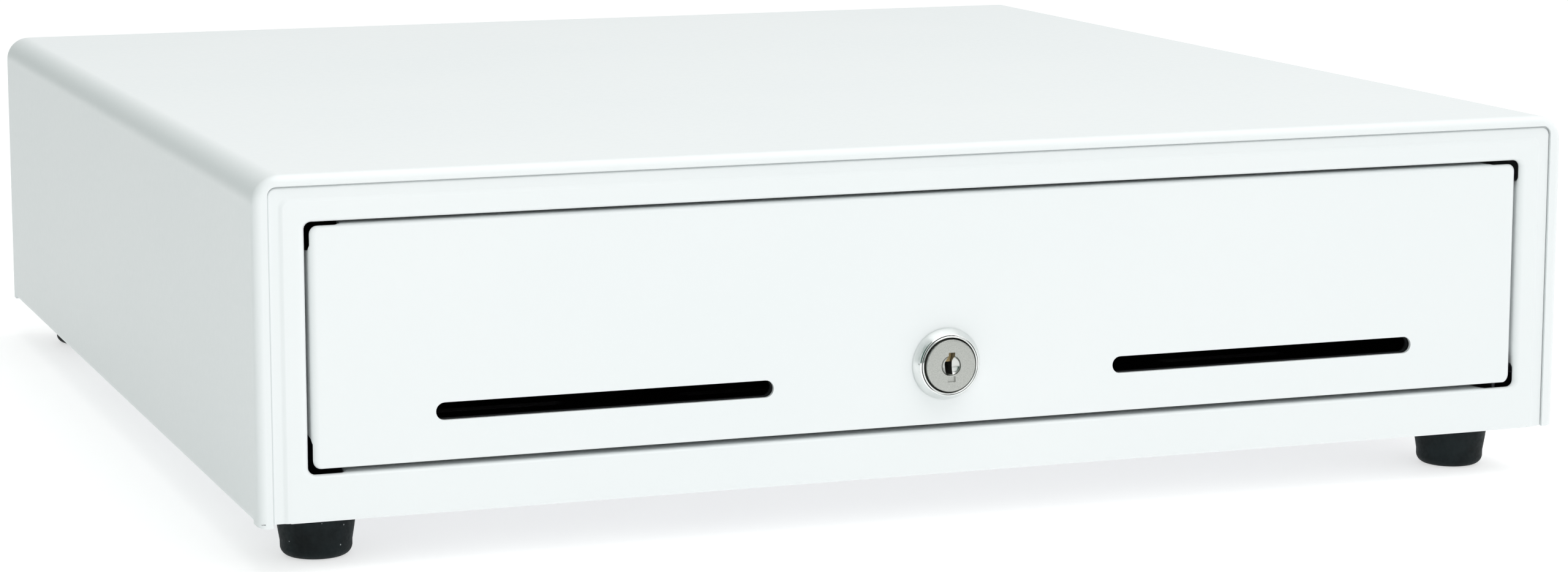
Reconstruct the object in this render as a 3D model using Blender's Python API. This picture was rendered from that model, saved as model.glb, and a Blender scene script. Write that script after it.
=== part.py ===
"""A steel cash drawer for a shop counter, at rest with its drawer shut.

All sizes are in millimetres and become metres when a mesh is made. X runs to the right, Y from the front
face towards the back, and Z up from the surface that the rubber feet stand on.
"""

import math

import bmesh
import bpy
from mathutils import Vector

MM = 0.001
GAP = 0.4  # clearance kept between pieces that touch or nearly touch

# Case
WIDTH = 410.0
DEPTH = 415.0
HEIGHT = 112.0
COVER_BOTTOM = 15.2
COVER_SHEET = 1.0
COVER_CORNER = 8.0
LIP_HALF_WIDTH = 200.8
LIP_TOP = 108.9
LIP_CORNER = 2.6
LOCK_REACH = 4.4  # how far the lock stands out in front of the case

# Bezel, the frame around the drawer front
BEZEL_BOTTOM = 14.6
BEZEL_TOP = 110.4
BEZEL_FACE = 1.4
BEZEL_BAND_FACE = 2.2
BEZEL_SHEET = 1.2
BEZEL_FLANGE_BACK = 12.0
STEP_HALF_WIDTH = 196.4
STEP_TOP = 104.2
OPENING_HALF_WIDTH = 190.4
OPENING_BOTTOM = 27.7
OPENING_TOP = 98.6
OPENING_CORNER = 1.8

# Drawer front
PANEL_FACE = 1.7
PANEL_SHEET = 1.2
PANEL_HALF_WIDTH = 189.3
PANEL_BOTTOM = 29.3
PANEL_TOP = 97.7
PANEL_CORNER = 4.0
PANEL_FLANGE_BACK = 11.0
PANEL_RELIEF = 9.0  # length of each corner where the folded flange is left out
SLOT_X = 103.8
SLOT_Z = 43.5
SLOT_LENGTH = 100.0
SLOT_HEIGHT = 4.7

# Drawer box
BOX_HALF_WIDTH = 176.0
BOX_SHEET = 1.0
BOX_FRONT = 3.3
BOX_BACK = 350.0
BOX_FLOOR = 30.6
BOX_SIDE_TOP = 91.0
BOX_BACK_TOP = 84.0
BOX_FRONT_TOP = 95.5
BOX_FRONT_HALF_WIDTH = 187.0

# Base and the brackets that carry the slides
BASE_HALF_WIDTH = 203.2
BASE_FRONT = 3.9
BASE_BACK = 412.2
BASE_FLOOR = 16.5
BASE_TOP = 17.5
BRACKET_INNER = 190.4
BRACKET_SHEET = 1.2
REAR_PANEL_FRONT = 412.6

# Ball-bearing slides, measured outwards from the middle of the drawer
RAIL_FRONT = 14.0
RAIL_BACK = 350.0
RAIL_SHEET = 1.2
CAGE_FRONT = 102.0
CAGE_BACK = 262.0
CAGE_SHEET = 0.8
SLIDE_Z = 59.5

# Feet and screws
FOOT_X = 183.0
FOOT_Y = (25.0, 390.0)
FOOT_TOP = 16.2
FOOT_TOP_RADIUS = 11.9
FOOT_BOTTOM_RADIUS = 10.6
FOOT_EDGE = 3.0
COVER_SCREW_X = 199.2
COVER_SCREW_Y = (60.0, 355.0)

# Lock
LOCK_Z = 47.4
LOCK_FLANGE_RADIUS = 10.9
LOCK_RIM_RADIUS = 9.3
BARREL_RADIUS = 9.4
BARREL_BACK = 27.0
BORE_RADIUS = 8.3
PLUG_RADIUS = 8.0
ROD_RADIUS = 3.0
ROD_BACK = 359.5
CAM_FRONT = 352.8
CAM_BACK = 357.8
CAM_REACH = 16.6

# Till
TILL_HALF_WIDTH = 174.2
TILL_FRONT = 6.0
TILL_BACK = 346.2
TILL_WALL = 2.0
TILL_TOP = 95.0
TILL_RIM_BOTTOM = 91.4
BILL_FLOOR = 52.0
COIN_FLOOR = 58.8
COIN_BACK = 121.5
BILL_FRONT = 124.0
BILL_COUNT = 5
CUPS_ACROSS = 4
CUP_RADIUS = 18.0
CLIP_Y = 332.0
CLIP_Z = 86.0
CLIP_ROD_RADIUS = 2.1
CLIP_WIDTH = 22.0

# Latch, solenoid and switch behind the drawer
LATCH_Y = 385.0
LATCH_Z = 80.0
LATCH_PIN_RADIUS = 2.5
STRIKER_Z = 68.0
LATCH_WALL = 16.0
LATCH_WALL_SHEET = 1.5
SOLENOID_Y = 399.5
SWITCH_PIVOT = (384.5, 67.5)
EJECT_X = 90.0
EJECT_Z = 60.0
SOCKET_X = -120.0
SOCKET_Z = 42.0
HARNESS_HOLE = (400.0, 30.0)

SIDES = 32
MIDDLE_Y = (DEPTH - LOCK_REACH) / 2  # from the front face to the middle of the whole object


# ---------------------------------------------------------------- outlines

def arc(cx, cy, radius, start, end, steps):
    """Points on an arc, in degrees, with both ends."""
    angles = [math.radians(start + (end - start) * i / steps) for i in range(steps + 1)]
    return [(cx + radius * math.cos(a), cy + radius * math.sin(a)) for a in angles]


def circle(cx, cy, radius, sides=SIDES):
    return arc(cx, cy, radius, 0, 360, sides)[:-1]


def rounded(x0, y0, x1, y1, radius, steps=3):
    """A rectangle with four round corners."""
    r = radius
    return (
        arc(x1 - r, y0 + r, r, -90, 0, steps)
        + arc(x1 - r, y1 - r, r, 0, 90, steps)
        + arc(x0 + r, y1 - r, r, 90, 180, steps)
        + arc(x0 + r, y0 + r, r, 180, 270, steps)
    )


def rectangle(x0, y0, x1, y1):
    return [(x0, y0), (x1, y0), (x1, y1), (x0, y1)]


def arch(half_width, bottom, top, corner, steps=4):
    """An open-bottomed outline, from its lower right corner over the top to its lower left one."""
    right = [(half_width, bottom)] + arc(half_width - corner, top - corner, corner, 0, 90, steps)
    return right + [(-x, z) for x, z in reversed(right)]


def arch_band(outer, inner):
    """The closed outline of the band between two arches."""
    return outer + list(reversed(inner))


def stadium(cx, cy, length, height, steps=6):
    r = height / 2
    half = length / 2 - r
    return arc(cx + half, cy, r, -90, 90, steps) + arc(cx - half, cy, r, 90, 270, steps)


def channel(web, tips, low, high, sheet):
    """A C section: web is its back, tips the ends of its two flanges, low and high its outer heights."""
    inner = web + math.copysign(sheet, tips - web)
    return [
        (web, low), (tips, low), (tips, low + sheet), (inner, low + sheet),
        (inner, high - sheet), (tips, high - sheet), (tips, high), (web, high),
    ]


def ribbon(points, thickness):
    """The outline of a strip of sheet that follows points, with mitred bends."""
    sides = ([], [])
    for i, point in enumerate(points):
        here = Vector(point)
        before = (here - Vector(points[i - 1])).normalized() if i else None
        after = (Vector(points[i + 1]) - here).normalized() if i + 1 < len(points) else before
        before = before or after
        along = (before + after).normalized()
        across = Vector((-along.y, along.x)) * (thickness / 2 / along.dot(after))
        sides[0].append(tuple(here + across))
        sides[1].append(tuple(here - across))
    return sides[0] + sides[1][::-1]


# ---------------------------------------------------------------- meshes

def finish_mesh(bm, name):
    bmesh.ops.recalc_face_normals(bm, faces=bm.faces)
    bmesh.ops.scale(bm, vec=(MM, MM, MM), verts=bm.verts)
    mesh = bpy.data.meshes.new(name)
    bm.to_mesh(mesh)
    bm.free()
    return bpy.data.objects.new(name, mesh)


def prism(outline, low, high, axis, name="helper"):
    """An outline pushed along an axis: (y, z) outlines along X, (x, z) along Y and (x, y) along Z."""
    turn = {
        "X": lambda u, v, w: (w, u, v),
        "Y": lambda u, v, w: (u, w, v),
        "Z": lambda u, v, w: (u, v, w),
    }[axis]
    bm = bmesh.new()
    lower = [bm.verts.new(turn(u, v, low)) for u, v in outline]
    upper = [bm.verts.new(turn(u, v, high)) for u, v in outline]
    bm.faces.new(lower)
    bm.faces.new(upper)
    for i in range(len(outline)):
        j = (i + 1) % len(outline)
        bm.faces.new((lower[i], lower[j], upper[j], upper[i]))
    return finish_mesh(bm, name)


def block(x0, y0, z0, x1, y1, z1, name="helper"):
    return prism(rectangle(min(x0, x1), y0, max(x0, x1), y1), z0, z1, "Z", name)


def turned(profile, centre, axis, closed=False, sides=SIDES, name="helper"):
    """A lathe-turned solid: profile holds (radius, distance along the axis). A closed one has a bore."""
    cx, cy = centre
    place = {
        "X": lambda r, w, a: (w, cx + r * math.cos(a), cy + r * math.sin(a)),
        "Y": lambda r, w, a: (cx + r * math.cos(a), w, cy + r * math.sin(a)),
        "Z": lambda r, w, a: (cx + r * math.cos(a), cy + r * math.sin(a), w),
    }[axis]
    bm = bmesh.new()
    rings = []
    for radius, along in profile:
        if radius == 0:
            rings.append([bm.verts.new(place(0, along, 0))] * sides)
        else:
            angles = [math.tau * i / sides for i in range(sides)]
            rings.append([bm.verts.new(place(radius, along, a)) for a in angles])
    pairs = list(zip(rings, rings[1:] + rings[:1])) if closed else list(zip(rings, rings[1:]))
    for first, second in pairs:
        for i in range(sides):
            j = (i + 1) % sides
            corners = (first[i], first[j], second[j], second[i])
            bm.faces.new(list(dict.fromkeys(corners)))
    return finish_mesh(bm, name)


def cylinder(radius, centre, low, high, axis, sides=SIDES, name="helper"):
    return turned([(0, low), (radius, low), (radius, high), (0, high)], centre, axis, sides=sides, name=name)


def coil(centre, axis, radius, wire, low, high, turns, name, steps=12, sides=6):
    """A closed helical wire along an axis."""
    place = {
        "Y": lambda r, w, a: Vector((centre[0] + r * math.cos(a), w, centre[1] + r * math.sin(a))),
        "Z": lambda r, w, a: Vector((centre[0] + r * math.cos(a), centre[1] + r * math.sin(a), w)),
    }[axis]
    count = int(turns * steps)
    span = high - low - 2 * wire
    bm = bmesh.new()
    rings = []
    for i in range(count + 1):
        angle = math.tau * i / steps
        along = low + wire + span * i / count
        around = [math.tau * k / sides for k in range(sides)]
        rings.append([
            bm.verts.new(place(radius + wire * math.cos(a), along + wire * math.sin(a), angle))
            for a in around
        ])
    for first, second in zip(rings, rings[1:]):
        for k in range(sides):
            j = (k + 1) % sides
            bm.faces.new((first[k], first[j], second[j], second[k]))
    bm.faces.new(rings[0])
    bm.faces.new(rings[-1])
    return finish_mesh(bm, name)


def tube(points, radius, name, per_span=6):
    """A round tube along a smooth curve through points."""
    ends = [points[0]] + points + [points[-1]]
    path = []
    for i in range(len(points) - 1):
        a, b, c, d = (Vector(p) for p in ends[i:i + 4])
        for k in range(per_span):
            t = k / per_span
            path.append(
                0.5 * (2 * b + (c - a) * t + (2 * a - 5 * b + 4 * c - d) * t ** 2
                       + (3 * b - a - 3 * c + d) * t ** 3)
            )
    path.append(Vector(points[-1]))
    curve = bpy.data.curves.new(name, "CURVE")
    curve.dimensions = "3D"
    curve.bevel_depth = radius * MM
    curve.bevel_resolution = 2
    curve.use_fill_caps = True
    spline = curve.splines.new("POLY")
    spline.points.add(len(path) - 1)
    for target, point in zip(spline.points, path):
        target.co = (*(point * MM), 1)
    return bpy.data.objects.new(name, curve)


# ---------------------------------------------------------------- assembling

def combine(target, tools, operation):
    """Boolean modifiers that join helpers to a piece, or cut them out of it."""
    for tool in tools:
        tool.name = f"{target.name}_{operation.lower()}"
        bpy.context.scene.collection.objects.link(tool)
        tool.parent = target
        tool.hide_render = True
        tool.display_type = "WIRE"
        modifier = target.modifiers.new(operation.title(), "BOOLEAN")
        modifier.operation = operation
        modifier.solver = "EXACT"
        modifier.object = tool
    return target


def join(target, *tools):
    return combine(target, tools, "UNION")


def cut(target, *tools):
    return combine(target, tools, "DIFFERENCE")


def material(name, colour, roughness, metallic=0.0):
    made = bpy.data.materials.new(name)
    made.use_nodes = True
    shader = made.node_tree.nodes["Principled BSDF"]
    shader.inputs["Base Color"].default_value = (*colour, 1)
    shader.inputs["Roughness"].default_value = roughness
    shader.inputs["Metallic"].default_value = metallic
    return made


def body(name, pivot=(0, 0, 0), parent=None):
    """An empty that a moving group hangs from, on its joint's axis."""
    empty = bpy.data.objects.new(name, None)
    empty.empty_display_size = 0.02
    bpy.context.scene.collection.objects.link(empty)
    empty["pivot"] = pivot
    base = (0, MIDDLE_Y, 0)
    if parent:
        empty.parent = parent
        base = parent["pivot"]
    empty.location = [(p - b) * MM for p, b in zip(pivot, base)]
    return empty


def add(piece, name, owner, finish):
    """Names a piece, gives it its material and hangs it from its body."""
    piece.name = name
    piece.data.name = name
    piece.data.materials.append(finish)
    bpy.context.scene.collection.objects.link(piece)
    piece.parent = owner
    piece.location = [-p * MM for p in owner["pivot"]]
    if piece.type == "MESH":
        piece.data.shade_smooth()
        piece.data.set_sharp_from_angle(angle=math.radians(35))
    return piece


def clear_scene():
    for existing in list(bpy.data.objects):
        bpy.data.objects.remove(existing)


# ---------------------------------------------------------------- case

def outer_cover():
    half = WIDTH / 2
    sheet = COVER_SHEET
    outer = arch(half, COVER_BOTTOM, HEIGHT, COVER_CORNER)
    inner = arch(half - sheet, COVER_BOTTOM, HEIGHT - sheet, COVER_CORNER - sheet)
    shell = prism(arch_band(outer, inner), sheet / 2, DEPTH - sheet / 2, "Y")
    front = arch_band(outer, arch(LIP_HALF_WIDTH, COVER_BOTTOM, LIP_TOP, LIP_CORNER))
    rear = arch_band(outer, arch(half - 12, COVER_BOTTOM, HEIGHT - 12, LIP_CORNER))
    pieces = [prism(front, 0, sheet, "Y"), prism(rear, DEPTH - sheet, DEPTH, "Y")]
    holes = []
    for side in (-1, 1):
        pieces.append(block(side * 196, 4, COVER_BOTTOM, side * (half - sheet / 2), 412, COVER_BOTTOM + sheet))
        for y in COVER_SCREW_Y:
            holes.append(cylinder(1.8, (side * COVER_SCREW_X, y), 10, 18, "Z", 12))
    return cut(join(shell, *pieces), *holes)


def front_bezel():
    half = WIDTH / 2
    back = BEZEL_FLANGE_BACK
    sheet = BEZEL_SHEET
    inside = BEZEL_BAND_FACE + GAP
    shoulder = [(LIP_HALF_WIDTH - 0.6, BEZEL_BOTTOM), (LIP_HALF_WIDTH - 0.6, 17.0)]
    band = shoulder + arch(half - 1.6, 17.0, BEZEL_TOP, 6.5)
    band += [(-x, z) for x, z in reversed(shoulder)]
    opening = rounded(-OPENING_HALF_WIDTH, OPENING_BOTTOM, OPENING_HALF_WIDTH, OPENING_TOP, OPENING_CORNER)
    plate = cut(prism(band, BEZEL_BAND_FACE, BEZEL_BAND_FACE + sheet, "Y"), prism(opening, 0, 10, "Y"))
    step = arch(STEP_HALF_WIDTH, BEZEL_BOTTOM, STEP_TOP, 1.5)
    raised = cut(prism(step, BEZEL_FACE, BEZEL_FACE + sheet, "Y"), prism(opening, 0, 10, "Y"))
    flanges = [
        block(-178, inside, OPENING_TOP, 178, back, OPENING_TOP + sheet),
        block(-178, inside, OPENING_BOTTOM - sheet, 178, back, OPENING_BOTTOM),
        block(-188, inside, BEZEL_BOTTOM, 188, back, BEZEL_BOTTOM + sheet),
        block(-188, inside, BEZEL_TOP - sheet, 188, back, BEZEL_TOP),
    ]
    for side in (-1, 1):
        edge = side * OPENING_HALF_WIDTH
        flanges.append(block(edge, inside, 38, edge + side * sheet, back, 88))
    return join(plate, raised, *flanges)


def base_pan():
    plate = block(-BASE_HALF_WIDTH, BASE_FRONT, BASE_FLOOR, BASE_HALF_WIDTH, BASE_BACK, BASE_TOP)
    walls = [
        block(-189, BASE_FRONT, BASE_FLOOR, 189, BASE_FRONT + 1, 25.5),
        block(-200, BASE_BACK - 1, BASE_FLOOR, 200, BASE_BACK, 26),
    ]
    holes = []
    for side in (-1, 1):
        edge = side * BASE_HALF_WIDTH
        walls.append(block(edge - side, 14, BASE_FLOOR, edge, 405, 28))
        holes += [cylinder(2.3, (side * FOOT_X, y), 15, 19, "Z", 12) for y in FOOT_Y]
        holes += [cylinder(1.8, (side * COVER_SCREW_X, y), 15, 19, "Z", 12) for y in COVER_SCREW_Y]
    return cut(join(plate, *walls), *holes)


def rear_panel():
    outline = arch(BASE_HALF_WIDTH, BASE_FLOOR + 0.1, BEZEL_TOP, 6.5)
    plate = prism(outline, REAR_PANEL_FRONT, REAR_PANEL_FRONT + 1, "Y")
    window = rectangle(SOCKET_X - 8.4, SOCKET_Z - 8.4, SOCKET_X + 8.4, SOCKET_Z + 8.4)
    return cut(plate, prism(window, REAR_PANEL_FRONT - 2, REAR_PANEL_FRONT + 3, "Y"))


def side_bracket(side):
    inner = side * BRACKET_INNER
    outline = [
        (inner, BASE_TOP + 0.3), (side * 201.5, BASE_TOP + 0.3),
        (side * 201.5, BASE_TOP + 1.5), (inner + side * BRACKET_SHEET, BASE_TOP + 1.5),
        (inner + side * BRACKET_SHEET, 92), (inner, 92),
    ]
    return prism(outline, 13, 400, "Y")


def foot(side, y):
    profile = [(2.1, FOOT_TOP), (FOOT_TOP_RADIUS, FOOT_TOP)]
    middle = FOOT_BOTTOM_RADIUS - FOOT_EDGE
    profile += [(middle + dx, z) for dx, z in arc(0, FOOT_EDGE, FOOT_EDGE, 0, -90, 3)]
    profile += [(4.2, 0), (4.2, 6), (2.1, 6)]
    return turned(profile, (side * FOOT_X, y), "Z", closed=True, sides=24)


def foot_screw(side, y):
    profile = [(0, 4), (3.5, 4), (3.5, 5.7), (1.75, 5.7), (1.75, 21), (0, 21)]
    return turned(profile, (side * FOOT_X, y), "Z", sides=12)


def cover_screw(side, y):
    profile = [(0, 13.4), (2.6, 13.4), (3, 13.9), (3, 14.9), (1.5, 14.9), (1.5, 17.4), (0, 17.4)]
    return turned(profile, (side * COVER_SCREW_X, y), "Z", sides=12)


# ---------------------------------------------------------------- slides

def rail(side, web, tips, half_height):
    outline = channel(side * web, side * tips, SLIDE_Z - half_height, SLIDE_Z + half_height, RAIL_SHEET)
    return prism(outline, RAIL_FRONT, RAIL_BACK, "Y")


def cage(side, web, tips, half_height):
    outline = channel(side * web, side * tips, SLIDE_Z - half_height, SLIDE_Z + half_height, CAGE_SHEET)
    return prism(outline, CAGE_FRONT, CAGE_BACK, "Y")


# ---------------------------------------------------------------- drawer

def drawer_box():
    half = BOX_HALF_WIDTH
    sheet = BOX_SHEET
    floor = block(-half, BOX_FRONT, BOX_FLOOR, half, BOX_BACK, BOX_FLOOR + sheet)
    front = BOX_FRONT_HALF_WIDTH
    walls = [
        block(-half, BOX_FRONT, BOX_FLOOR, -half + sheet, BOX_BACK, BOX_SIDE_TOP),
        block(half - sheet, BOX_FRONT, BOX_FLOOR, half, BOX_BACK, BOX_SIDE_TOP),
        block(-half, BOX_BACK - sheet, BOX_FLOOR, half, BOX_BACK, BOX_BACK_TOP),
        block(-front, BOX_FRONT, BOX_FLOOR, front, BOX_FRONT + sheet, BOX_FRONT_TOP),
    ]
    holes = [prism(stadium(side * SLOT_X, SLOT_Z, SLOT_LENGTH, SLOT_HEIGHT), 2, 6, "Y") for side in (-1, 1)]
    holes.append(cylinder(BARREL_RADIUS + GAP, (0, LOCK_Z), 2, 6, "Y"))
    holes.append(cylinder(5.3, (0, LOCK_Z), BOX_BACK - 3, BOX_BACK + 3, "Y", 16))
    return cut(join(floor, *walls), *holes)


def drawer_front():
    outline = rounded(-PANEL_HALF_WIDTH, PANEL_BOTTOM, PANEL_HALF_WIDTH, PANEL_TOP, PANEL_CORNER, 4)
    sheet = PANEL_SHEET
    plate = prism(outline, PANEL_FACE, PANEL_FACE + sheet, "Y")
    end = PANEL_HALF_WIDTH - PANEL_RELIEF
    inside = PANEL_FACE + sheet / 2
    flanges = [
        block(-end, inside, PANEL_TOP - sheet, end, PANEL_FLANGE_BACK, PANEL_TOP),
        block(-end, inside, PANEL_BOTTOM, end, PANEL_FLANGE_BACK, PANEL_BOTTOM + sheet),
    ]
    for side in (-1, 1):
        edge = side * PANEL_HALF_WIDTH
        low = PANEL_BOTTOM + PANEL_RELIEF
        high = PANEL_TOP - PANEL_RELIEF
        flanges.append(block(edge - side * sheet, inside, low, edge, PANEL_FLANGE_BACK, high))
    holes = [prism(stadium(side * SLOT_X, SLOT_Z, SLOT_LENGTH, SLOT_HEIGHT), 0, 5, "Y") for side in (-1, 1)]
    holes.append(cylinder(BARREL_RADIUS + GAP, (0, LOCK_Z), 0, 5, "Y"))
    return cut(join(plate, *flanges), *holes)


def till():
    bills = block(-TILL_HALF_WIDTH, COIN_BACK, BILL_FLOOR, TILL_HALF_WIDTH, TILL_BACK, TILL_TOP)
    coins = block(-TILL_HALF_WIDTH, TILL_FRONT, COIN_FLOOR, TILL_HALF_WIDTH, COIN_BACK + 1, TILL_TOP)
    rim = block(-BOX_HALF_WIDTH, TILL_FRONT - 1, TILL_RIM_BOTTOM, BOX_HALF_WIDTH, TILL_BACK + 1.8, TILL_TOP)
    inner = TILL_HALF_WIDTH - TILL_WALL
    pockets = []
    for i in range(BILL_COUNT):
        low, high = bill_pocket(i)
        outline = rounded(low, BILL_FRONT, high, TILL_BACK - TILL_WALL, 3, 2)
        pockets.append(prism(outline, BILL_FLOOR + TILL_WALL, TILL_TOP + 5, "Z"))
    pockets.append(block(-inner, TILL_FRONT + TILL_WALL, COIN_FLOOR + TILL_WALL, inner, COIN_BACK, TILL_TOP + 5))
    pockets.append(cylinder(CLIP_ROD_RADIUS + 0.3, (CLIP_Y, CLIP_Z), -180, 180, "X", 12))
    return cut(join(bills, coins, rim), *pockets)


def bill_pocket(index):
    """The two sides of one bill compartment, from left to right."""
    inner = TILL_HALF_WIDTH - TILL_WALL
    pitch = (2 * inner + TILL_WALL) / BILL_COUNT
    low = -inner + index * pitch
    return low, low + pitch - TILL_WALL


def coin_tray():
    wall = 2.0
    half = TILL_HALF_WIDTH - TILL_WALL - GAP
    front = TILL_FRONT + TILL_WALL + GAP
    back = COIN_BACK - GAP
    floor = COIN_FLOOR + TILL_WALL + 0.3
    middle = (front + back) / 2
    top = TILL_TOP - GAP
    rows = [(front, middle + wall / 2), (middle - wall / 2, back)]
    shells = [prism(scoop(y0, y1, floor, top, CUP_RADIUS + wall), -half, half, "X") for y0, y1 in rows]
    width = (2 * half - wall) / CUPS_ACROSS
    cups = []
    for y0, y1 in rows:
        outline = scoop(y0 + wall, y1 - wall, floor + wall, top + 3, CUP_RADIUS)
        for i in range(CUPS_ACROSS):
            left = -half + wall + i * width
            cups.append(prism(outline, left, left + width - wall, "X"))
    return cut(join(shells[0], shells[1]), *cups)


def scoop(y0, y1, floor, top, radius):
    """The section of a coin cup: straight above, round at the front and back of its floor."""
    return (
        [(y1, top), (y0, top)]
        + arc(y0 + radius, floor + radius, radius, 180, 270, 5)
        + arc(y1 - radius, floor + radius, radius, 270, 360, 5)
    )


def bill_clip(index):
    low, high = bill_pocket(index)
    middle = (low + high) / 2
    arm = [(-3, -1), (-58, -15), (-98, -28.6), (-105, -30.2), (-112, -27)]
    outline = ribbon([(CLIP_Y + y, CLIP_Z + z) for y, z in arm], 1.8)
    piece = prism(outline, middle - CLIP_WIDTH / 2, middle + CLIP_WIDTH / 2, "X")
    hub = cylinder(4.8, (CLIP_Y, CLIP_Z), middle - CLIP_WIDTH / 2 - 1, middle + CLIP_WIDTH / 2 + 1, "X", 16)
    bore = cylinder(CLIP_ROD_RADIUS + GAP, (CLIP_Y, CLIP_Z), middle - 20, middle + 20, "X", 16)
    return cut(join(piece, hub), bore)


# ---------------------------------------------------------------- lock

def lock_housing():
    profile = [
        (BORE_RADIUS, BARREL_BACK), (BARREL_RADIUS, BARREL_BACK), (BARREL_RADIUS, 1.4),
        (LOCK_FLANGE_RADIUS, 1.4), (LOCK_FLANGE_RADIUS, -0.5), (LOCK_RIM_RADIUS, -3.9),
        (LOCK_RIM_RADIUS - 0.5, -LOCK_REACH), (BORE_RADIUS, -3.9),
    ]
    return turned(profile, (0, LOCK_Z), "Y", closed=True)


def lock_nut():
    flats = 22.0
    outline = arc(0, LOCK_Z, flats / math.sqrt(3), 0, 360, 6)[:-1]
    nut = prism(outline, 4.7, 8.7, "Y")
    return cut(nut, cylinder(BARREL_RADIUS + 0.3, (0, LOCK_Z), 3, 10, "Y", 24))


def lock_plug():
    face = -3.6
    profile = [(0, face), (PLUG_RADIUS, face), (PLUG_RADIUS, 26.5), (0, 26.5)]
    recess = cylinder(3.1, (0, LOCK_Z), face - 2, face + 1.2, "Y", 16)
    keyway = block(-1.1, face - 2, LOCK_Z - 4.6, 1.1, 14, LOCK_Z + 4.6)
    return cut(turned(profile, (0, LOCK_Z), "Y"), recess, keyway)


def lock_cam():
    circle_part = [p for p in circle(0, LOCK_Z, 6, 24) if p[1] <= LOCK_Z + 4.3]
    start = next(i for i, p in enumerate(circle_part) if p[0] < 0 and p[1] > LOCK_Z + 4)
    around = circle_part[start:] + circle_part[:start]
    outline = around + [(4, LOCK_Z + CAM_REACH - 2), (2, LOCK_Z + CAM_REACH)]
    outline += [(-2, LOCK_Z + CAM_REACH), (-4, LOCK_Z + CAM_REACH - 2)]
    cam = prism(outline, CAM_FRONT, CAM_BACK, "Y")
    return cut(cam, cylinder(ROD_RADIUS + 0.3, (0, LOCK_Z), CAM_FRONT - 2, CAM_BACK + 2, "Y", 16))


def rod_bushing():
    inner = ROD_RADIUS + 0.3
    profile = [(inner, 347), (5, 347), (5, 350.4), (6.8, 350.4), (6.8, 351.6), (inner, 351.6)]
    return turned(profile, (0, LOCK_Z), "Y", closed=True, sides=16)


def lock_keeper():
    outline = [
        (351, BASE_TOP + 0.3), (366, BASE_TOP + 0.3), (366, BASE_TOP + 1.7),
        (352.4, BASE_TOP + 1.7), (352.4, 60), (351, 60),
    ]
    return prism(outline, 8, 28, "X")


# ---------------------------------------------------------------- latch unit

def striker():
    sheet = 2.0
    outline = [
        (350.4, 60), (351.9, 60), (351.9, STRIKER_Z), (369, STRIKER_Z),
        (369, STRIKER_Z + sheet), (351.9, STRIKER_Z + sheet), (351.9, 82), (350.4, 82),
    ]
    window = block(-6.2, 354.8, STRIKER_Z - 2, 6.2, 363.8, STRIKER_Z + 4)
    return cut(prism(outline, -9.5, 9.5, "X"), window)


def latch_bracket():
    floor = block(-LATCH_WALL - 0.5, 368, BASE_TOP + 0.3, LATCH_WALL + 0.5, 410.8, BASE_TOP + 1.8)
    walls = []
    for side in (-1, 1):
        x = side * LATCH_WALL
        walls.append(block(x, 374, BASE_TOP + 0.3, x + side * LATCH_WALL_SHEET, 410.8, 90))
    pin = cylinder(LATCH_PIN_RADIUS + 0.3, (LATCH_Y, LATCH_Z), -25, 25, "X", 16)
    wire = cylinder(2.6, HARNESS_HOLE, -25, -10, "X", 12)
    return cut(join(floor, *walls), pin, wire)


def latch_pivot_pin():
    outer = LATCH_WALL + LATCH_WALL_SHEET + 0.4
    profile = [(0, -outer - 1.3), (4, -outer - 1.3), (4, -outer), (LATCH_PIN_RADIUS, -outer)]
    profile += [(r, -w) for r, w in reversed(profile)]
    return turned(profile, (LATCH_Y, LATCH_Z), "X", sides=16)


def latch_lever():
    points = [(-27, -8.5), (-27, 1), (0, 0), (17, 0)]
    outline = ribbon([(LATCH_Y + y, LATCH_Z + z) for y, z in points], 3.6)
    lever = prism(outline, -4.6, 4.6, "X")
    hub = cylinder(5.5, (LATCH_Y, LATCH_Z), -6, 6, "X", 20)
    tab = block(3.5, 371, 74, 13, 375, LATCH_Z + 1)
    fork = block(-2.4, LATCH_Y + 10.6, LATCH_Z - 5, 2.4, LATCH_Y + 20, LATCH_Z + 5)
    bore = cylinder(LATCH_PIN_RADIUS + GAP, (LATCH_Y, LATCH_Z), -20, 20, "X", 20)
    return cut(join(lever, hub, tab), fork, bore)


def solenoid_frame():
    outline = [
        (388.5, 19.7), (411, 19.7), (411, 66), (388.5, 66),
        (388.5, 64), (409.2, 64), (409.2, 21.7), (388.5, 21.7),
    ]
    hole = cylinder(4.4, (0, SOLENOID_Y), 60, 70, "Z", 20)
    return cut(prism(outline, -11, 11, "X"), hole)


def solenoid_coil():
    profile = [
        (4.4, 22.1), (9.3, 22.1), (9.3, 24), (8.4, 24), (8.4, 61.7), (9.3, 61.7), (9.3, 63.6), (4.4, 63.6),
    ]
    return turned(profile, (0, SOLENOID_Y), "Z", closed=True, sides=24)


def solenoid_plunger():
    profile = [(0, 40), (3.9, 40), (3.9, 76.6), (1.8, 76.6), (1.8, 83.4), (3.2, 83.4), (3.2, 85.6), (0, 85.6)]
    return turned(profile, (0, SOLENOID_Y), "Z", sides=20)


def switch_body():
    case = block(6.5, 369, 48, 15.5, 387.8, 66)
    ears = [block(6.5, 382, 65, 7.8, 387, 69.6), block(14.2, 382, 65, 15.5, 387, 69.6)]
    terminals = [block(9.5, y, 43, 12.5, y + 0.8, 49) for y in (371.5, 378, 384.5)]
    return join(case, *ears, *terminals)


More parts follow.
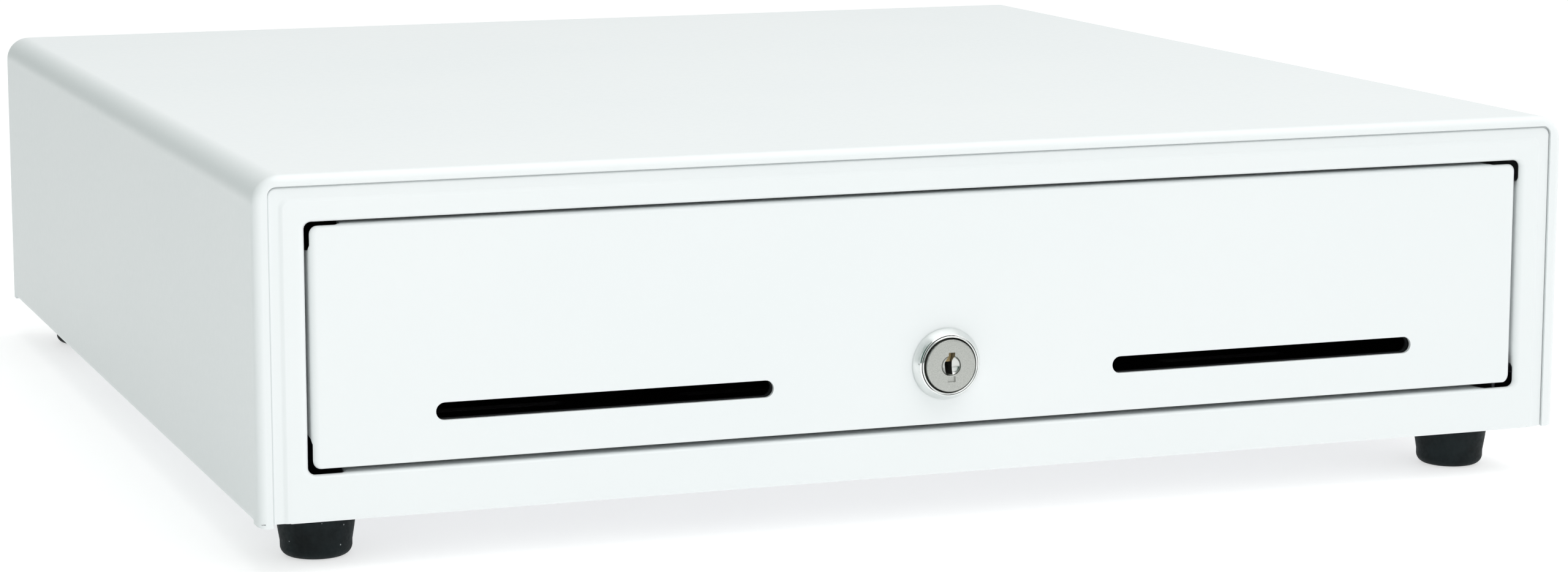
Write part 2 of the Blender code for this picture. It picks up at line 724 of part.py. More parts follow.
def switch_lever():
    y, z = SWITCH_PIVOT
    outline = ribbon([(y, z), (y - 6, z + 1.6), (y - 13.5, z + 5)], 0.8)
    blade = prism(outline, 8.2, 13.8, "X")
    return join(blade, cylinder(1.1, SWITCH_PIVOT, 8.1, 13.9, "X", 12))


def eject_guide():
    profile = [
        (0, 378), (2.2, 378), (3.2, 379.5), (3.2, 409.6), (8.5, 409.6), (8.5, BASE_BACK), (0, BASE_BACK),
    ]
    return turned(profile, (EJECT_X, EJECT_Z), "Y", sides=16)


def interface_socket():
    case = block(SOCKET_X - 8, 396, SOCKET_Z - 8, SOCKET_X + 8, 414.4, SOCKET_Z + 8)
    port = block(SOCKET_X - 6, 400, SOCKET_Z - 5, SOCKET_X + 6, 420, SOCKET_Z + 3)
    key = block(SOCKET_X - 1.6, 400, SOCKET_Z, SOCKET_X + 1.6, 420, SOCKET_Z + 5)
    return cut(case, port, key)


def wiring_harness():
    y, z = HARNESS_HOLE
    route = [
        (SOCKET_X, 395.4, SOCKET_Z), (SOCKET_X + 2, 388, SOCKET_Z), (-110, 382, 34), (-92, 379, 24.5),
        (-70, 378, 21.5), (-48, 382, 21.5), (-33, 391, 24), (-24, y - 1, z - 1), (-17, y, z), (-9.8, y, z),
    ]
    return tube(route, 1.8, "wiring_harness")


# ---------------------------------------------------------------- the whole object

def build_case(chassis, paint, zinc, rubber, plastic, screw_steel):
    add(outer_cover(), "outer_cover", chassis, paint)
    add(front_bezel(), "front_bezel", chassis, paint)
    add(base_pan(), "base_pan", chassis, zinc)
    add(rear_panel(), "rear_panel", chassis, paint)
    for side, word in ((-1, "left"), (1, "right")):
        add(side_bracket(side), f"side_bracket_{word}", chassis, zinc)
        add(rail(side, 190.0, 179.4, 22.5), f"outer_rail_{word}", chassis, zinc)
        for y, place in zip(FOOT_Y, ("front", "rear")):
            add(foot(side, y), f"foot_{place}_{word}", chassis, rubber)
            add(foot_screw(side, y), f"foot_screw_{place}_{word}", chassis, screw_steel)
        for y, place in zip(COVER_SCREW_Y, ("front", "rear")):
            add(cover_screw(side, y), f"cover_screw_{place}_{word}", chassis, screw_steel)
    add(lock_keeper(), "lock_keeper", chassis, zinc)
    add(eject_guide(), "eject_spring_guide", chassis, plastic)
    add(interface_socket(), "interface_socket", chassis, plastic)
    add(wiring_harness(), "wiring_harness", chassis, plastic)
    spring = coil((EJECT_X, EJECT_Z), "Y", 6, 0.7, 350.9, 409.1, 9, "spring")
    add(spring, "eject_spring", chassis, screw_steel)


def build_latch(chassis, zinc, screw_steel, plastic, copper, iron):
    latch = body("latch", (0, LATCH_Y, LATCH_Z), chassis)
    plunger = body("plunger", (0, SOLENOID_Y, 66), chassis)
    switch = body("switch", (11, *SWITCH_PIVOT), chassis)
    add(latch_bracket(), "latch_bracket", chassis, zinc)
    add(latch_pivot_pin(), "latch_pivot_pin", chassis, screw_steel)
    add(solenoid_frame(), "solenoid_frame", chassis, zinc)
    add(solenoid_coil(), "solenoid_coil", chassis, copper)
    add(switch_body(), "switch_body", chassis, plastic)
    spring = coil((0, 372), "Z", 2.2, 0.45, 19.8, 76.6, 14, "spring", steps=8, sides=4)
    add(spring, "latch_spring", chassis, screw_steel)
    add(latch_lever(), "latch_lever", latch, zinc)
    add(solenoid_plunger(), "solenoid_plunger", plunger, iron)
    add(switch_lever(), "switch_lever", switch, screw_steel)


def build_slides(chassis, drawer, zinc, screw_steel):
    middle = body("middle_rails", (0, 0, SLIDE_Z), chassis)
    outer_cages = body("outer_cages", (0, 0, SLIDE_Z), chassis)
    inner_cages = body("inner_cages", (0, 0, SLIDE_Z), chassis)
    for side, word in ((-1, "left"), (1, "right")):
        add(rail(side, 186.9, 178.2, 17.5), f"middle_rail_{word}", middle, zinc)
        add(rail(side, 176.4, 183.6, 12.5), f"inner_rail_{word}", drawer, zinc)
        add(cage(side, 188.3, 180.4, 19.9), f"outer_ball_cage_{word}", outer_cages, screw_steel)
        add(cage(side, 185.2, 178.8, 14.7), f"inner_ball_cage_{word}", inner_cages, screw_steel)


def build_drawer(drawer, paint, dark_paint, zinc, plastic, chrome, satin, screw_steel):
    add(drawer_box(), "drawer_box", drawer, dark_paint)
    add(drawer_front(), "drawer_front", drawer, paint)
    add(striker(), "striker", drawer, zinc)
    add(rod_bushing(), "rod_bushing", drawer, plastic)
    add(till(), "till", drawer, plastic)
    add(coin_tray(), "coin_tray", drawer, plastic)
    rod = cylinder(CLIP_ROD_RADIUS, (CLIP_Y, CLIP_Z), -173.6, 173.6, "X", 12)
    add(rod, "clip_rod", drawer, screw_steel)
    for i in range(BILL_COUNT):
        low, high = bill_pocket(i)
        clip = body(f"clip_{i + 1}", ((low + high) / 2, CLIP_Y, CLIP_Z), drawer)
        add(bill_clip(i), f"bill_clip_{i + 1}", clip, plastic)
    add(lock_housing(), "lock_housing", drawer, chrome)
    add(lock_nut(), "lock_nut", drawer, zinc)
    lock = body("lock", (0, PANEL_FACE, LOCK_Z), drawer)
    add(lock_plug(), "lock_plug", lock, satin)
    add(cylinder(ROD_RADIUS, (0, LOCK_Z), 26.9, ROD_BACK, "Y", 16), "lock_rod", lock, screw_steel)
    add(lock_cam(), "lock_cam", lock, zinc)


def main():
    clear_scene()
    paint = material("white_powder_coat", (0.86, 0.88, 0.88), 0.45)
    dark_paint = material("black_powder_coat", (0.03, 0.031, 0.033), 0.45)
    zinc = material("zinc_plated_steel", (0.62, 0.64, 0.66), 0.35, 1.0)
    screw_steel = material("bright_steel", (0.55, 0.56, 0.58), 0.3, 1.0)
    rubber = material("black_rubber", (0.02, 0.022, 0.024), 0.85)
    plastic = material("black_abs", (0.025, 0.025, 0.028), 0.5)
    chrome = material("chrome_plate", (0.82, 0.83, 0.84), 0.08, 1.0)
    satin = material("satin_nickel", (0.6, 0.61, 0.6), 0.35, 1.0)
    copper = material("coil_winding", (0.35, 0.12, 0.05), 0.4, 0.3)
    iron = material("plunger_iron", (0.4, 0.4, 0.42), 0.3, 1.0)

    chassis = body("chassis")
    drawer = body("drawer", (0, PANEL_FACE, SLIDE_Z), chassis)
    build_case(chassis, paint, zinc, rubber, plastic, screw_steel)
    build_latch(chassis, zinc, screw_steel, plastic, copper, iron)
    build_slides(chassis, drawer, zinc, screw_steel)
    build_drawer(drawer, paint, dark_paint, zinc, plastic, chrome, satin, screw_steel)


main()
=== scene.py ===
"""The looks of a white steel cash drawer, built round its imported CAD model.

Lengths are in millimetres of the case until a mesh is made: X to the right, Y from the case's front face
towards its back, and Z up from the surface that the feet stand on. Colours are linear.
"""

import math

import bmesh
import bpy
from mathutils import Matrix, Quaternion, Vector
from mathutils.geometry import tessellate_polygon


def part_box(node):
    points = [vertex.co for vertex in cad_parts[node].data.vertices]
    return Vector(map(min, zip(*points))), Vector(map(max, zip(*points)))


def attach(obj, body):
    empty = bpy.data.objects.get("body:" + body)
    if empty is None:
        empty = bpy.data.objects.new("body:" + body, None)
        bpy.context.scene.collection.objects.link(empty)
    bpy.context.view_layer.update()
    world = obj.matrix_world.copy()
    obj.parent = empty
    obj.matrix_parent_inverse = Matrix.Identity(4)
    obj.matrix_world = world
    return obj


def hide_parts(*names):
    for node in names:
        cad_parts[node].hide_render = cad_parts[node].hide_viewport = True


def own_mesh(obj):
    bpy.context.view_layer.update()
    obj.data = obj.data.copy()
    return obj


MM = 0.001

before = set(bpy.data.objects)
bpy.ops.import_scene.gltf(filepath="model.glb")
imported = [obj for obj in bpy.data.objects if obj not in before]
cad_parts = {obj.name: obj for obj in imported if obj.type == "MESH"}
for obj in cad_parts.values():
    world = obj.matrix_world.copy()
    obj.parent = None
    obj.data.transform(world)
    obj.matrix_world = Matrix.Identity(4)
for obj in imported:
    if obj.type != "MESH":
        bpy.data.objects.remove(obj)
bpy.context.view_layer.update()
FRONT_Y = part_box("outer_cover")[0].y / MM  # where the case's front face is in the row frame

# The camera, as placed for the photographed view
CAMERA_PLACE = (-0.4283, -1.2144, 0.2496)
CAMERA_YAW = 0.3451
CAMERA_PITCH = 0.1553
CAMERA_ROLL = -0.0012
CAMERA_LENS = 87.5
CAMERA_SHIFT = (0.0312, -0.0168)

# The studio
ROOM_STRENGTH = 0.85
ROOM_LEFT = (0.09, 0.165, 0.138)
ROOM_LOW = (0.82, 0.84, 0.84)
FLOOR_GLOW = 0.6
FLOOR_REACH = 12000
FLOOR_DROP = 0.0001  # in metres, so that the feet and the floor don't share a plane

# The case
WIDTH = 410.0
DEPTH = 415.0
HEIGHT = 112.0
COVER_BOTTOM = 14.4
INNER_TOP = 110.4  # the top of the bezel and of the back, inside the cover
BASE_HALF = 203.2  # half the width of the base and of the back
FOOT_X = 183.0
FOOT_Y = (25, 390)
COVER_SCREW_X = 199.2
COVER_SCREW_Y = (60, 355)
SOCKET_X = -120.0

# The front. The faces are depths behind the case's front face, and the bay is the bezel's opening.
BEZEL_LOW = 14.6
FIELD_FACE = 0.15
BAND_FACE = 0.65
PANEL_FACE = 0.4
BAY_HALF = 190.4
BAY_LOW = 28.05
BAY_HIGH = 98.6
PANEL_HALF = 189.3
PANEL_LOW = 29.4
PANEL_HIGH = 97.7
SLOT_X = 103.8
SLOT_Z = 43.5
SLOT_LENGTH = 100.4
SLOT_HEIGHT = 5.1
LOCK_Z = 47.4

# Inside the case
SLIDE_Z = 59.5
RAIL_ENDS = (14.0, 350.0)
CAGE_ENDS = (102.0, 262.0)
TILL_HALF = 174.2
CLIP_Y = 332.0
CLIP_Z = 86.0
CAD_EDGE = 0.2  # the rounding of the edges of a CAD piece that is kept

# The sockets of a mix of two colours
MIX_FACTOR, MIX_FIRST, MIX_SECOND, MIX_RESULT = 0, 6, 7, 2


# ---------------------------------------------------------------- outlines

def arc(cx, cy, radius, start, end, steps):
    """Points on an arc, in degrees, with both ends."""
    angles = [math.radians(start + (end - start) * i / steps) for i in range(steps + 1)]
    return [(cx + radius * math.cos(a), cy + radius * math.sin(a)) for a in angles]


def rounded(x0, y0, x1, y1, radius, steps=6):
    """A rectangle with four round corners."""
    r = radius
    return (
        arc(x1 - r, y0 + r, r, -90, 0, steps)
        + arc(x1 - r, y1 - r, r, 0, 90, steps)
        + arc(x0 + r, y1 - r, r, 90, 180, steps)
        + arc(x0 + r, y0 + r, r, 180, 270, steps)
    )


def stadium(cx, cy, length, height, steps=12):
    """A slot with round ends."""
    r = height / 2
    half = length / 2 - r
    return arc(cx + half, cy, r, -90, 90, steps) + arc(cx - half, cy, r, 90, 270, steps)


def arch(half, top, corner, right, left, steps=10):
    """Up the right side, over the top and down the left. right and left hold the lower points' heights."""
    side = arc(half - corner, top - corner, corner, 0, 90, steps)
    over = side + [(-x, z) for x, z in reversed(side)]
    return [(half, z) for z in right] + over + [(-half, z) for z in reversed(left)]


def window(half, low, high, corner, grow, stops, steps=8):
    """A rounded rectangle as a loop, from its right side upwards, grown from fixed corner centres.

    grow holds what is added at the sides, the bottom and the top. stops holds how far the straight stretches
    reach, as x at the top, x at the bottom and the two heights at the sides, where folds begin and end.
    """
    across, below, above = grow
    top_x, bottom_x, low_z, high_z = stops

    def round_corner(side, centre_z, more, start):
        centre_x = side * (half - corner)
        ring = arc(0, 0, 1, start, start + 90, steps)
        return [(centre_x + (corner + across) * u, centre_z + (corner + more) * v) for u, v in ring]

    right, left = half + across, -half - across
    return (
        [(right, low_z), (right, high_z)]
        + round_corner(1, high - corner, above, 0)
        + [(top_x, high + above), (-top_x, high + above)]
        + round_corner(-1, high - corner, above, 90)
        + [(left, high_z), (left, low_z)]
        + round_corner(-1, low + corner, below, 180)
        + [(-bottom_x, low - below), (bottom_x, low - below)]
        + round_corner(1, low + corner, below, 270)
    )


# ---------------------------------------------------------------- meshes

def strip(bm, rows, closed=False):
    """Faces between rows of points, in millimetres. A closed one joins its last row to its first."""
    made = [[bm.verts.new(p) for p in row] for row in rows]
    following = made[1:] + made[:1] if closed else made[1:]
    for first, second in zip(made, following):
        for i in range(len(first) - 1):
            bm.faces.new((first[i], first[i + 1], second[i + 1], second[i]))


def plate(bm, loops, place):
    """A flat face with holes. The first loop is its outline, and place turns (u, v) into a 3-D point."""
    loops = [list(dict.fromkeys(loop)) for loop in loops]
    flat = [bm.verts.new(place(u, v)) for loop in loops for u, v in loop]
    triangles = tessellate_polygon([[Vector((u, v, 0)) for u, v in loop] for loop in loops])
    faces = []
    for corners in triangles:
        if len(set(corners)) == 3:
            faces.append(bm.faces.new([flat[i] for i in corners]))
    edges = list({e for f in faces for e in f.edges})
    verts = list({v for f in faces for v in f.verts})
    bmesh.ops.dissolve_limit(bm, angle_limit=0.001, verts=verts, edges=edges)


def as_object(bm, name, outward=None):
    """Makes the object in the row frame.

    outward is a (point, direction): the face nearest to the point has to look along the direction.
    """
    bmesh.ops.remove_doubles(bm, verts=bm.verts, dist=0.002)
    bmesh.ops.recalc_face_normals(bm, faces=bm.faces)
    if outward:
        point, direction = (Vector(v) for v in outward)
        nearest = min(bm.faces, key=lambda f: (f.calc_center_median() - point).length)
        if nearest.normal.dot(direction) < 0:
            bmesh.ops.reverse_faces(bm, faces=bm.faces)
    bmesh.ops.translate(bm, vec=(0, FRONT_Y, 0), verts=bm.verts)
    bmesh.ops.scale(bm, vec=(MM, MM, MM), verts=bm.verts)
    mesh = bpy.data.meshes.new(name)
    bm.to_mesh(mesh)
    bm.free()
    piece = bpy.data.objects.new(name, mesh)
    bpy.context.scene.collection.objects.link(piece)
    return piece


def prism(outline, low, high, axis):
    """An outline pushed along an axis: (y, z) outlines along X, (x, z) along Y and (x, y) along Z."""
    turn = {
        "X": lambda u, v, w: (w, u, v),
        "Y": lambda u, v, w: (u, w, v),
        "Z": lambda u, v, w: (u, v, w),
    }[axis]
    bm = bmesh.new()
    lower = [bm.verts.new(turn(u, v, low)) for u, v in outline]
    upper = [bm.verts.new(turn(u, v, high)) for u, v in outline]
    bm.faces.new(lower)
    bm.faces.new(upper)
    for i in range(len(outline)):
        j = (i + 1) % len(outline)
        bm.faces.new((lower[i], lower[j], upper[j], upper[i]))
    return as_object(bm, "tool")


def block(x0, y0, z0, x1, y1, z1):
    """A box between two corners."""
    left, right = sorted((x0, x1))
    return prism([(left, y0), (right, y0), (right, y1), (left, y1)], z0, z1, "Z")


def round_axis(centre, axis):
    """A function from a radius, a distance along the axis and an angle to a point."""
    cx, cy = centre
    return {
        "X": lambda r, w, a: (w, cx + r * math.cos(a), cy + r * math.sin(a)),
        "Y": lambda r, w, a: (cx + r * math.cos(a), w, cy + r * math.sin(a)),
        "Z": lambda r, w, a: (cx + r * math.cos(a), cy + r * math.sin(a), w),
    }[axis]


def turned(profile, centre, axis, closed=False, sides=64):
    """A lathe-turned solid: profile holds (radius, distance along the axis). A closed one has a bore."""
    place = round_axis(centre, axis)
    bm = bmesh.new()
    rings = []
    for radius, along in profile:
        if radius == 0:
            rings.append([bm.verts.new(place(0, along, 0))] * sides)
        else:
            rings.append([bm.verts.new(place(radius, along, math.tau * i / sides)) for i in range(sides)])
    following = rings[1:] + rings[:1] if closed else rings[1:]
    for first, second in zip(rings, following):
        for i in range(sides):
            j = (i + 1) % sides
            bm.faces.new(list(dict.fromkeys((first[i], first[j], second[j], second[i]))))
    return as_object(bm, "tool")


def cylinder(radius, centre, low, high, axis, sides=48):
    """A round bar along an axis."""
    return turned([(0, low), (radius, low), (radius, high), (0, high)], centre, axis, sides=sides)


def spring(centre, axis, radius, wire, low, high, turns, steps=24, sides=10):
    """A compression spring with a closed turn at each end. radius is that of its wire's middle line."""
    place = round_axis(centre, axis)
    closed = 2.2 * wire
    pitch = (high - low - 2 * wire - 2 * closed) / (turns - 2)
    bm = bmesh.new()
    rings = []
    for i in range(turns * steps + 1):
        turn = i / steps
        middle_turns = min(max(turn - 1, 0), turns - 2)
        along = low + wire + pitch * middle_turns + closed * (turn - middle_turns)
        ring = arc(0, 0, wire, 0, 360, sides)[:-1]
        rings.append([bm.verts.new(place(radius + u, along + v, math.tau * turn)) for u, v in ring])
    for first, second in zip(rings, rings[1:]):
        for k in range(sides):
            j = (k + 1) % sides
            bm.faces.new((first[k], first[j], second[j], second[k]))
    bm.faces.new(rings[0])
    bm.faces.new(rings[-1])
    return as_object(bm, "spring")


def bake(piece):
    """Applies a piece's modifiers."""
    bpy.context.view_layer.update()
    graph = bpy.context.evaluated_depsgraph_get()
    mesh = bpy.data.meshes.new_from_object(piece.evaluated_get(graph))
    piece.modifiers.clear()
    piece.data = mesh
    return piece


def combine(piece, tools, operation):
    """Joins tools to a piece or cuts them from it, and removes them."""
    for tool in tools:
        modifier = piece.modifiers.new(operation, "BOOLEAN")
        modifier.operation = operation
        modifier.solver = "EXACT"
        modifier.object = tool
    bake(piece)
    for tool in tools:
        bpy.data.objects.remove(tool)
    return piece


def join(piece, *tools):
    """The piece and its tools as one body."""
    return combine(piece, tools, "UNION")


def cut(piece, *tools):
    """The piece without what its tools take away."""
    return combine(piece, tools, "DIFFERENCE")


def gather(piece, *extras):
    """Adds closed solids to a piece's mesh as they are, without joining them to it."""
    bm = bmesh.new()
    for part in (piece, *extras):
        bm.from_mesh(part.data)
    bm.to_mesh(piece.data)
    bm.free()
    for extra in extras:
        bpy.data.objects.remove(extra)
    return piece


def thicken(piece, thickness):
    """Gives a skin the thickness of its sheet, behind its outer face."""
    modifier = piece.modifiers.new("Sheet", "SOLIDIFY")
    modifier.thickness = thickness * MM
    modifier.offset = -1
    modifier.use_even_offset = True
    return bake(piece)


def soften(piece, width, segments=2, angle=40):
    """Rounds the sharp edges and shades the rest smoothly."""
    bevel = piece.modifiers.new("Edges", "BEVEL")
    bevel.width = width * MM
    bevel.segments = segments
    bevel.limit_method = "ANGLE"
    bevel.angle_limit = math.radians(angle)
    bevel.miter_outer = "MITER_ARC"
    piece.data.shade_smooth()
    normals = piece.modifiers.new("Normals", "WEIGHTED_NORMAL")
    normals.keep_sharp = True
    return piece


def place(piece, name, body, finish, slot, *replaced):
    """Names a finished piece, gives it its material and lets it ride on a body."""
    piece.name = name
    if finish:
        piece.data.materials.clear()
        piece.data.materials.append(finish)
    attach(piece, body)
    if replaced:
        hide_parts(*replaced)
    return piece


# ---------------------------------------------------------------- materials

class Nodes:
    """A material's node tree with one principled shader."""

    def __init__(self, name, colour, roughness, metallic=0.0):
        self.material = bpy.data.materials.new(name)
        self.material.use_nodes = True
        self.tree = self.material.node_tree
        self.shader = self.tree.nodes["Principled BSDF"]
        self.shader.inputs["Base Color"].default_value = (*colour, 1)
        self.shader.inputs["Roughness"].default_value = roughness
        self.shader.inputs["Metallic"].default_value = metallic
        self.place = self.tree.nodes.new("ShaderNodeTexCoord").outputs["Object"]

    def add(self, kind, inputs=None, **settings):
        """A new node. A socket among its inputs is linked, and any other value is set."""
        node = self.tree.nodes.new(kind)
        for key, value in settings.items():
            setattr(node, key, value)
        for key, value in (inputs or {}).items():
            if isinstance(value, bpy.types.NodeSocket):
                self.tree.links.new(value, node.inputs[key])
            else:
                node.inputs[key].default_value = value
        return node

    def stretched(self, scale):
        """The coordinates of the object, scaled along each axis."""
        return self.add("ShaderNodeMapping", {"Vector": self.place, "Scale": scale}).outputs["Vector"]

    def noise(self, scale, detail=2.0, where=None):
        """A cloudy value, mostly between 0.3 and 0.7."""
        inputs = {"Vector": where or self.place, "Scale": scale, "Detail": detail}
        return self.add("ShaderNodeTexNoise", inputs).outputs["Fac"]

    def span(self, value, low, high, start=0.3, end=0.7):
        """value, from start to end, turned into a number from low to high."""
        return self.add("ShaderNodeMapRange", {
            "Value": value, "From Min": start, "From Max": end, "To Min": low, "To Max": high,
        }).outputs["Result"]

    def tint(self, value, first, second, start=0.3, end=0.7):
        """A colour between first and second."""
        ramp = self.add("ShaderNodeValToRGB", {"Fac": value})
        ramp.color_ramp.elements[0].position = start
        ramp.color_ramp.elements[0].color = (*first, 1)
        ramp.color_ramp.elements[1].position = end
        ramp.color_ramp.elements[1].color = (*second, 1)
        return ramp.outputs["Color"]

    def bump(self, height, strength, distance, before=None):
        """A normal bent by a height, on top of the one before it."""
        inputs = {"Height": height, "Strength": strength, "Distance": distance}
        if before:
            inputs["Normal"] = before
        return self.add("ShaderNodeBump", inputs).outputs["Normal"]

    def use(self, colour=None, roughness=None, normal=None):
        """The material, with what is given linked to its shader."""
        for key, value in (("Base Color", colour), ("Roughness", roughness), ("Normal", normal)):
            if value:
                self.tree.links.new(value, self.shader.inputs[key])
        return self.material


def powder_coat(name, light, dark, roughness=(0.34, 0.44)):
    """Powder coat: an even colour with a fine orange peel."""
    n = Nodes(name, light, roughness[0])
    cloud = n.noise(9, 3)
    peel = n.bump(n.noise(1100, 1), 0.12, 0.00012)
    wave = n.bump(n.noise(60, 2), 0.05, 0.0004, peel)
    return n.use(n.tint(cloud, dark, light), n.span(n.noise(420, 3), *roughness), wave)


def zinc_plate(name, light, dark, roughness=(0.28, 0.46), along=(1, 0.06, 1)):
    """Zinc-plated sheet: faint rolling marks along the sheet under a cloudy bluish plating."""
    n = Nodes(name, light, roughness[0], 1.0)
    rolled = n.noise(900, 3, n.stretched(along))
    cloud = n.noise(28, 4)
    colour = n.tint(cloud, dark, light)
    return n.use(colour, n.span(rolled, *roughness), n.bump(rolled, 0.12, 0.00005))


def steel(name, light, dark, roughness=(0.2, 0.34)):
    """Bright drawn or turned steel with fine marks."""
    n = Nodes(name, light, roughness[0], 1.0)
    marks = n.noise(1400, 2, n.stretched((1, 1, 0.3)))
    colour = n.tint(n.noise(140, 3), dark, light)
    return n.use(colour, n.span(marks, *roughness), n.bump(marks, 0.08, 0.00004))


def moulded(name, light, dark, roughness=(0.42, 0.6), grain=1500, depth=0.00006):
    """Moulded plastic with a fine spark-eroded grain."""
    n = Nodes(name, light, roughness[0])
    spark = n.noise(grain, 2)
    return n.use(n.tint(n.noise(35, 3), dark, light), n.span(spark, *roughness), n.bump(spark, 0.35, depth))


def rubber():
    """Black rubber with a dull bloom and a few specks of dust."""
    n = Nodes("black_rubber", (0.006, 0.007, 0.008), 0.62)
    n.shader.inputs["Specular IOR Level"].default_value = 0.16
    bloom = n.tint(n.noise(150, 4), (0.003, 0.0055, 0.0062), (0.0085, 0.0145, 0.016))
    cells = n.add("ShaderNodeTexVoronoi", {"Vector": n.place, "Scale": 330.0, "Randomness": 1.0})
    near = n.span(cells.outputs["Distance"], 1.0, 0.0, 0.05, 0.10)
    rare = n.add("ShaderNodeMath", {0: n.noise(90, 0), 1: 0.56}, operation="GREATER_THAN").outputs["Value"]
    speck = n.add("ShaderNodeMath", {0: near, 1: rare}, operation="MULTIPLY").outputs["Value"]
    colours = {MIX_FACTOR: speck, MIX_FIRST: bloom, MIX_SECOND: (0.32, 0.34, 0.34, 1)}
    colour = n.add("ShaderNodeMix", colours, data_type="RGBA").outputs[MIX_RESULT]
    grain = n.noise(900, 3)
    return n.use(colour, n.span(grain, 0.55, 0.72), n.bump(grain, 0.25, 0.0001))


def blasted(name, light, dark, roughness=(0.3, 0.5)):
    """Cast metal with a coarse, blasted face."""
    n = Nodes(name, light, roughness[0], 1.0)
    grain = n.noise(5200, 3)
    return n.use(n.tint(grain, dark, light), n.span(grain, *roughness), n.bump(grain, 0.5, 0.00003))


def winding():
    """Enamelled copper wire, wound in fine turns round an upright coil, with painted shade in the grooves
    between the turns and a painted highlight on their crests.
    """
    n = Nodes("copper_winding", (0.36, 0.13, 0.05), 0.32, 0.85)
    turns = n.add("ShaderNodeTexWave", {
        "Vector": n.place, "Scale": 620.0, "Distortion": 0.4, "Detail": 1.0,
    }, bands_direction="Z").outputs["Fac"]
    # painted shade and highlight: the colour is darkest in the grooves between the turns and lightest on
    # their crests, along the same bands as the bump
    colour = n.tint(turns, (0.20, 0.06, 0.025), (0.48, 0.19, 0.08), 0.1, 0.9)
    return n.use(colour, n.span(turns, 0.28, 0.42, 0, 1), n.bump(turns, 0.6, 0.0002))


def floor_finish():
    """A pale matt floor with a glow of its own, which keeps shadows faint."""
    n = Nodes("studio_floor", (0.55, 0.55, 0.55), 0.7)
    n.shader.inputs["Emission Color"].default_value = (1, 1, 1, 1)
    n.shader.inputs["Emission Strength"].default_value = FLOOR_GLOW
    colour = n.tint(n.noise(3, 3), (0.54, 0.545, 0.545), (0.56, 0.56, 0.56))
    return n.use(colour, n.span(n.noise(40, 3), 0.62, 0.78))


WHITE = powder_coat("white_powder_coat", (0.80, 0.825, 0.828), (0.785, 0.815, 0.82))
ZINC = zinc_plate("zinc_plated_steel", (0.66, 0.68, 0.70), (0.54, 0.56, 0.60))
ZINC_UPRIGHT = zinc_plate("zinc_plated_bracket", (0.62, 0.64, 0.66), (0.52, 0.54, 0.57), along=(1, 1, 0.06))
# The drawer box's black is partly a guess at its coat and partly painted shade: it is kept dark so that the
# slots and the gaps round the drawer front look as dark as their shade.
BOX_COAT_AND_SHADE = powder_coat("black_powder_coat", (0.030, 0.032, 0.034), (0.024, 0.026, 0.028), (0.42, 0.55))
STEEL = steel("bright_steel", (0.62, 0.63, 0.65), (0.50, 0.51, 0.54))
BALL_STEEL = steel("ball_steel", (0.74, 0.75, 0.77), (0.66, 0.67, 0.70), (0.08, 0.14))
IRON = steel("plunger_iron", (0.46, 0.46, 0.48), (0.38, 0.38, 0.40))
CHROME = steel("chrome_plate", (0.90, 0.91, 0.90), (0.74, 0.76, 0.75), (0.06, 0.14))
POLISHED = steel("polished_nickel", (0.62, 0.63, 0.61), (0.50, 0.51, 0.49), (0.12, 0.22))
SATIN = blasted("satin_nickel", (0.54, 0.55, 0.52), (0.34, 0.35, 0.33))
BRASS = steel("keyway_brass", (0.30, 0.23, 0.12), (0.22, 0.17, 0.09), (0.3, 0.5))
ABS = moulded("black_abs", (0.024, 0.025, 0.027), (0.018, 0.019, 0.021))
NYLON = moulded("black_nylon", (0.030, 0.031, 0.033), (0.022, 0.023, 0.025), (0.5, 0.65))
JACKET = moulded("cable_jacket", (0.022, 0.022, 0.023), (0.016, 0.016, 0.017), (0.38, 0.5), 500)
RUBBER = rubber()
COPPER = winding()


# ---------------------------------------------------------------- case

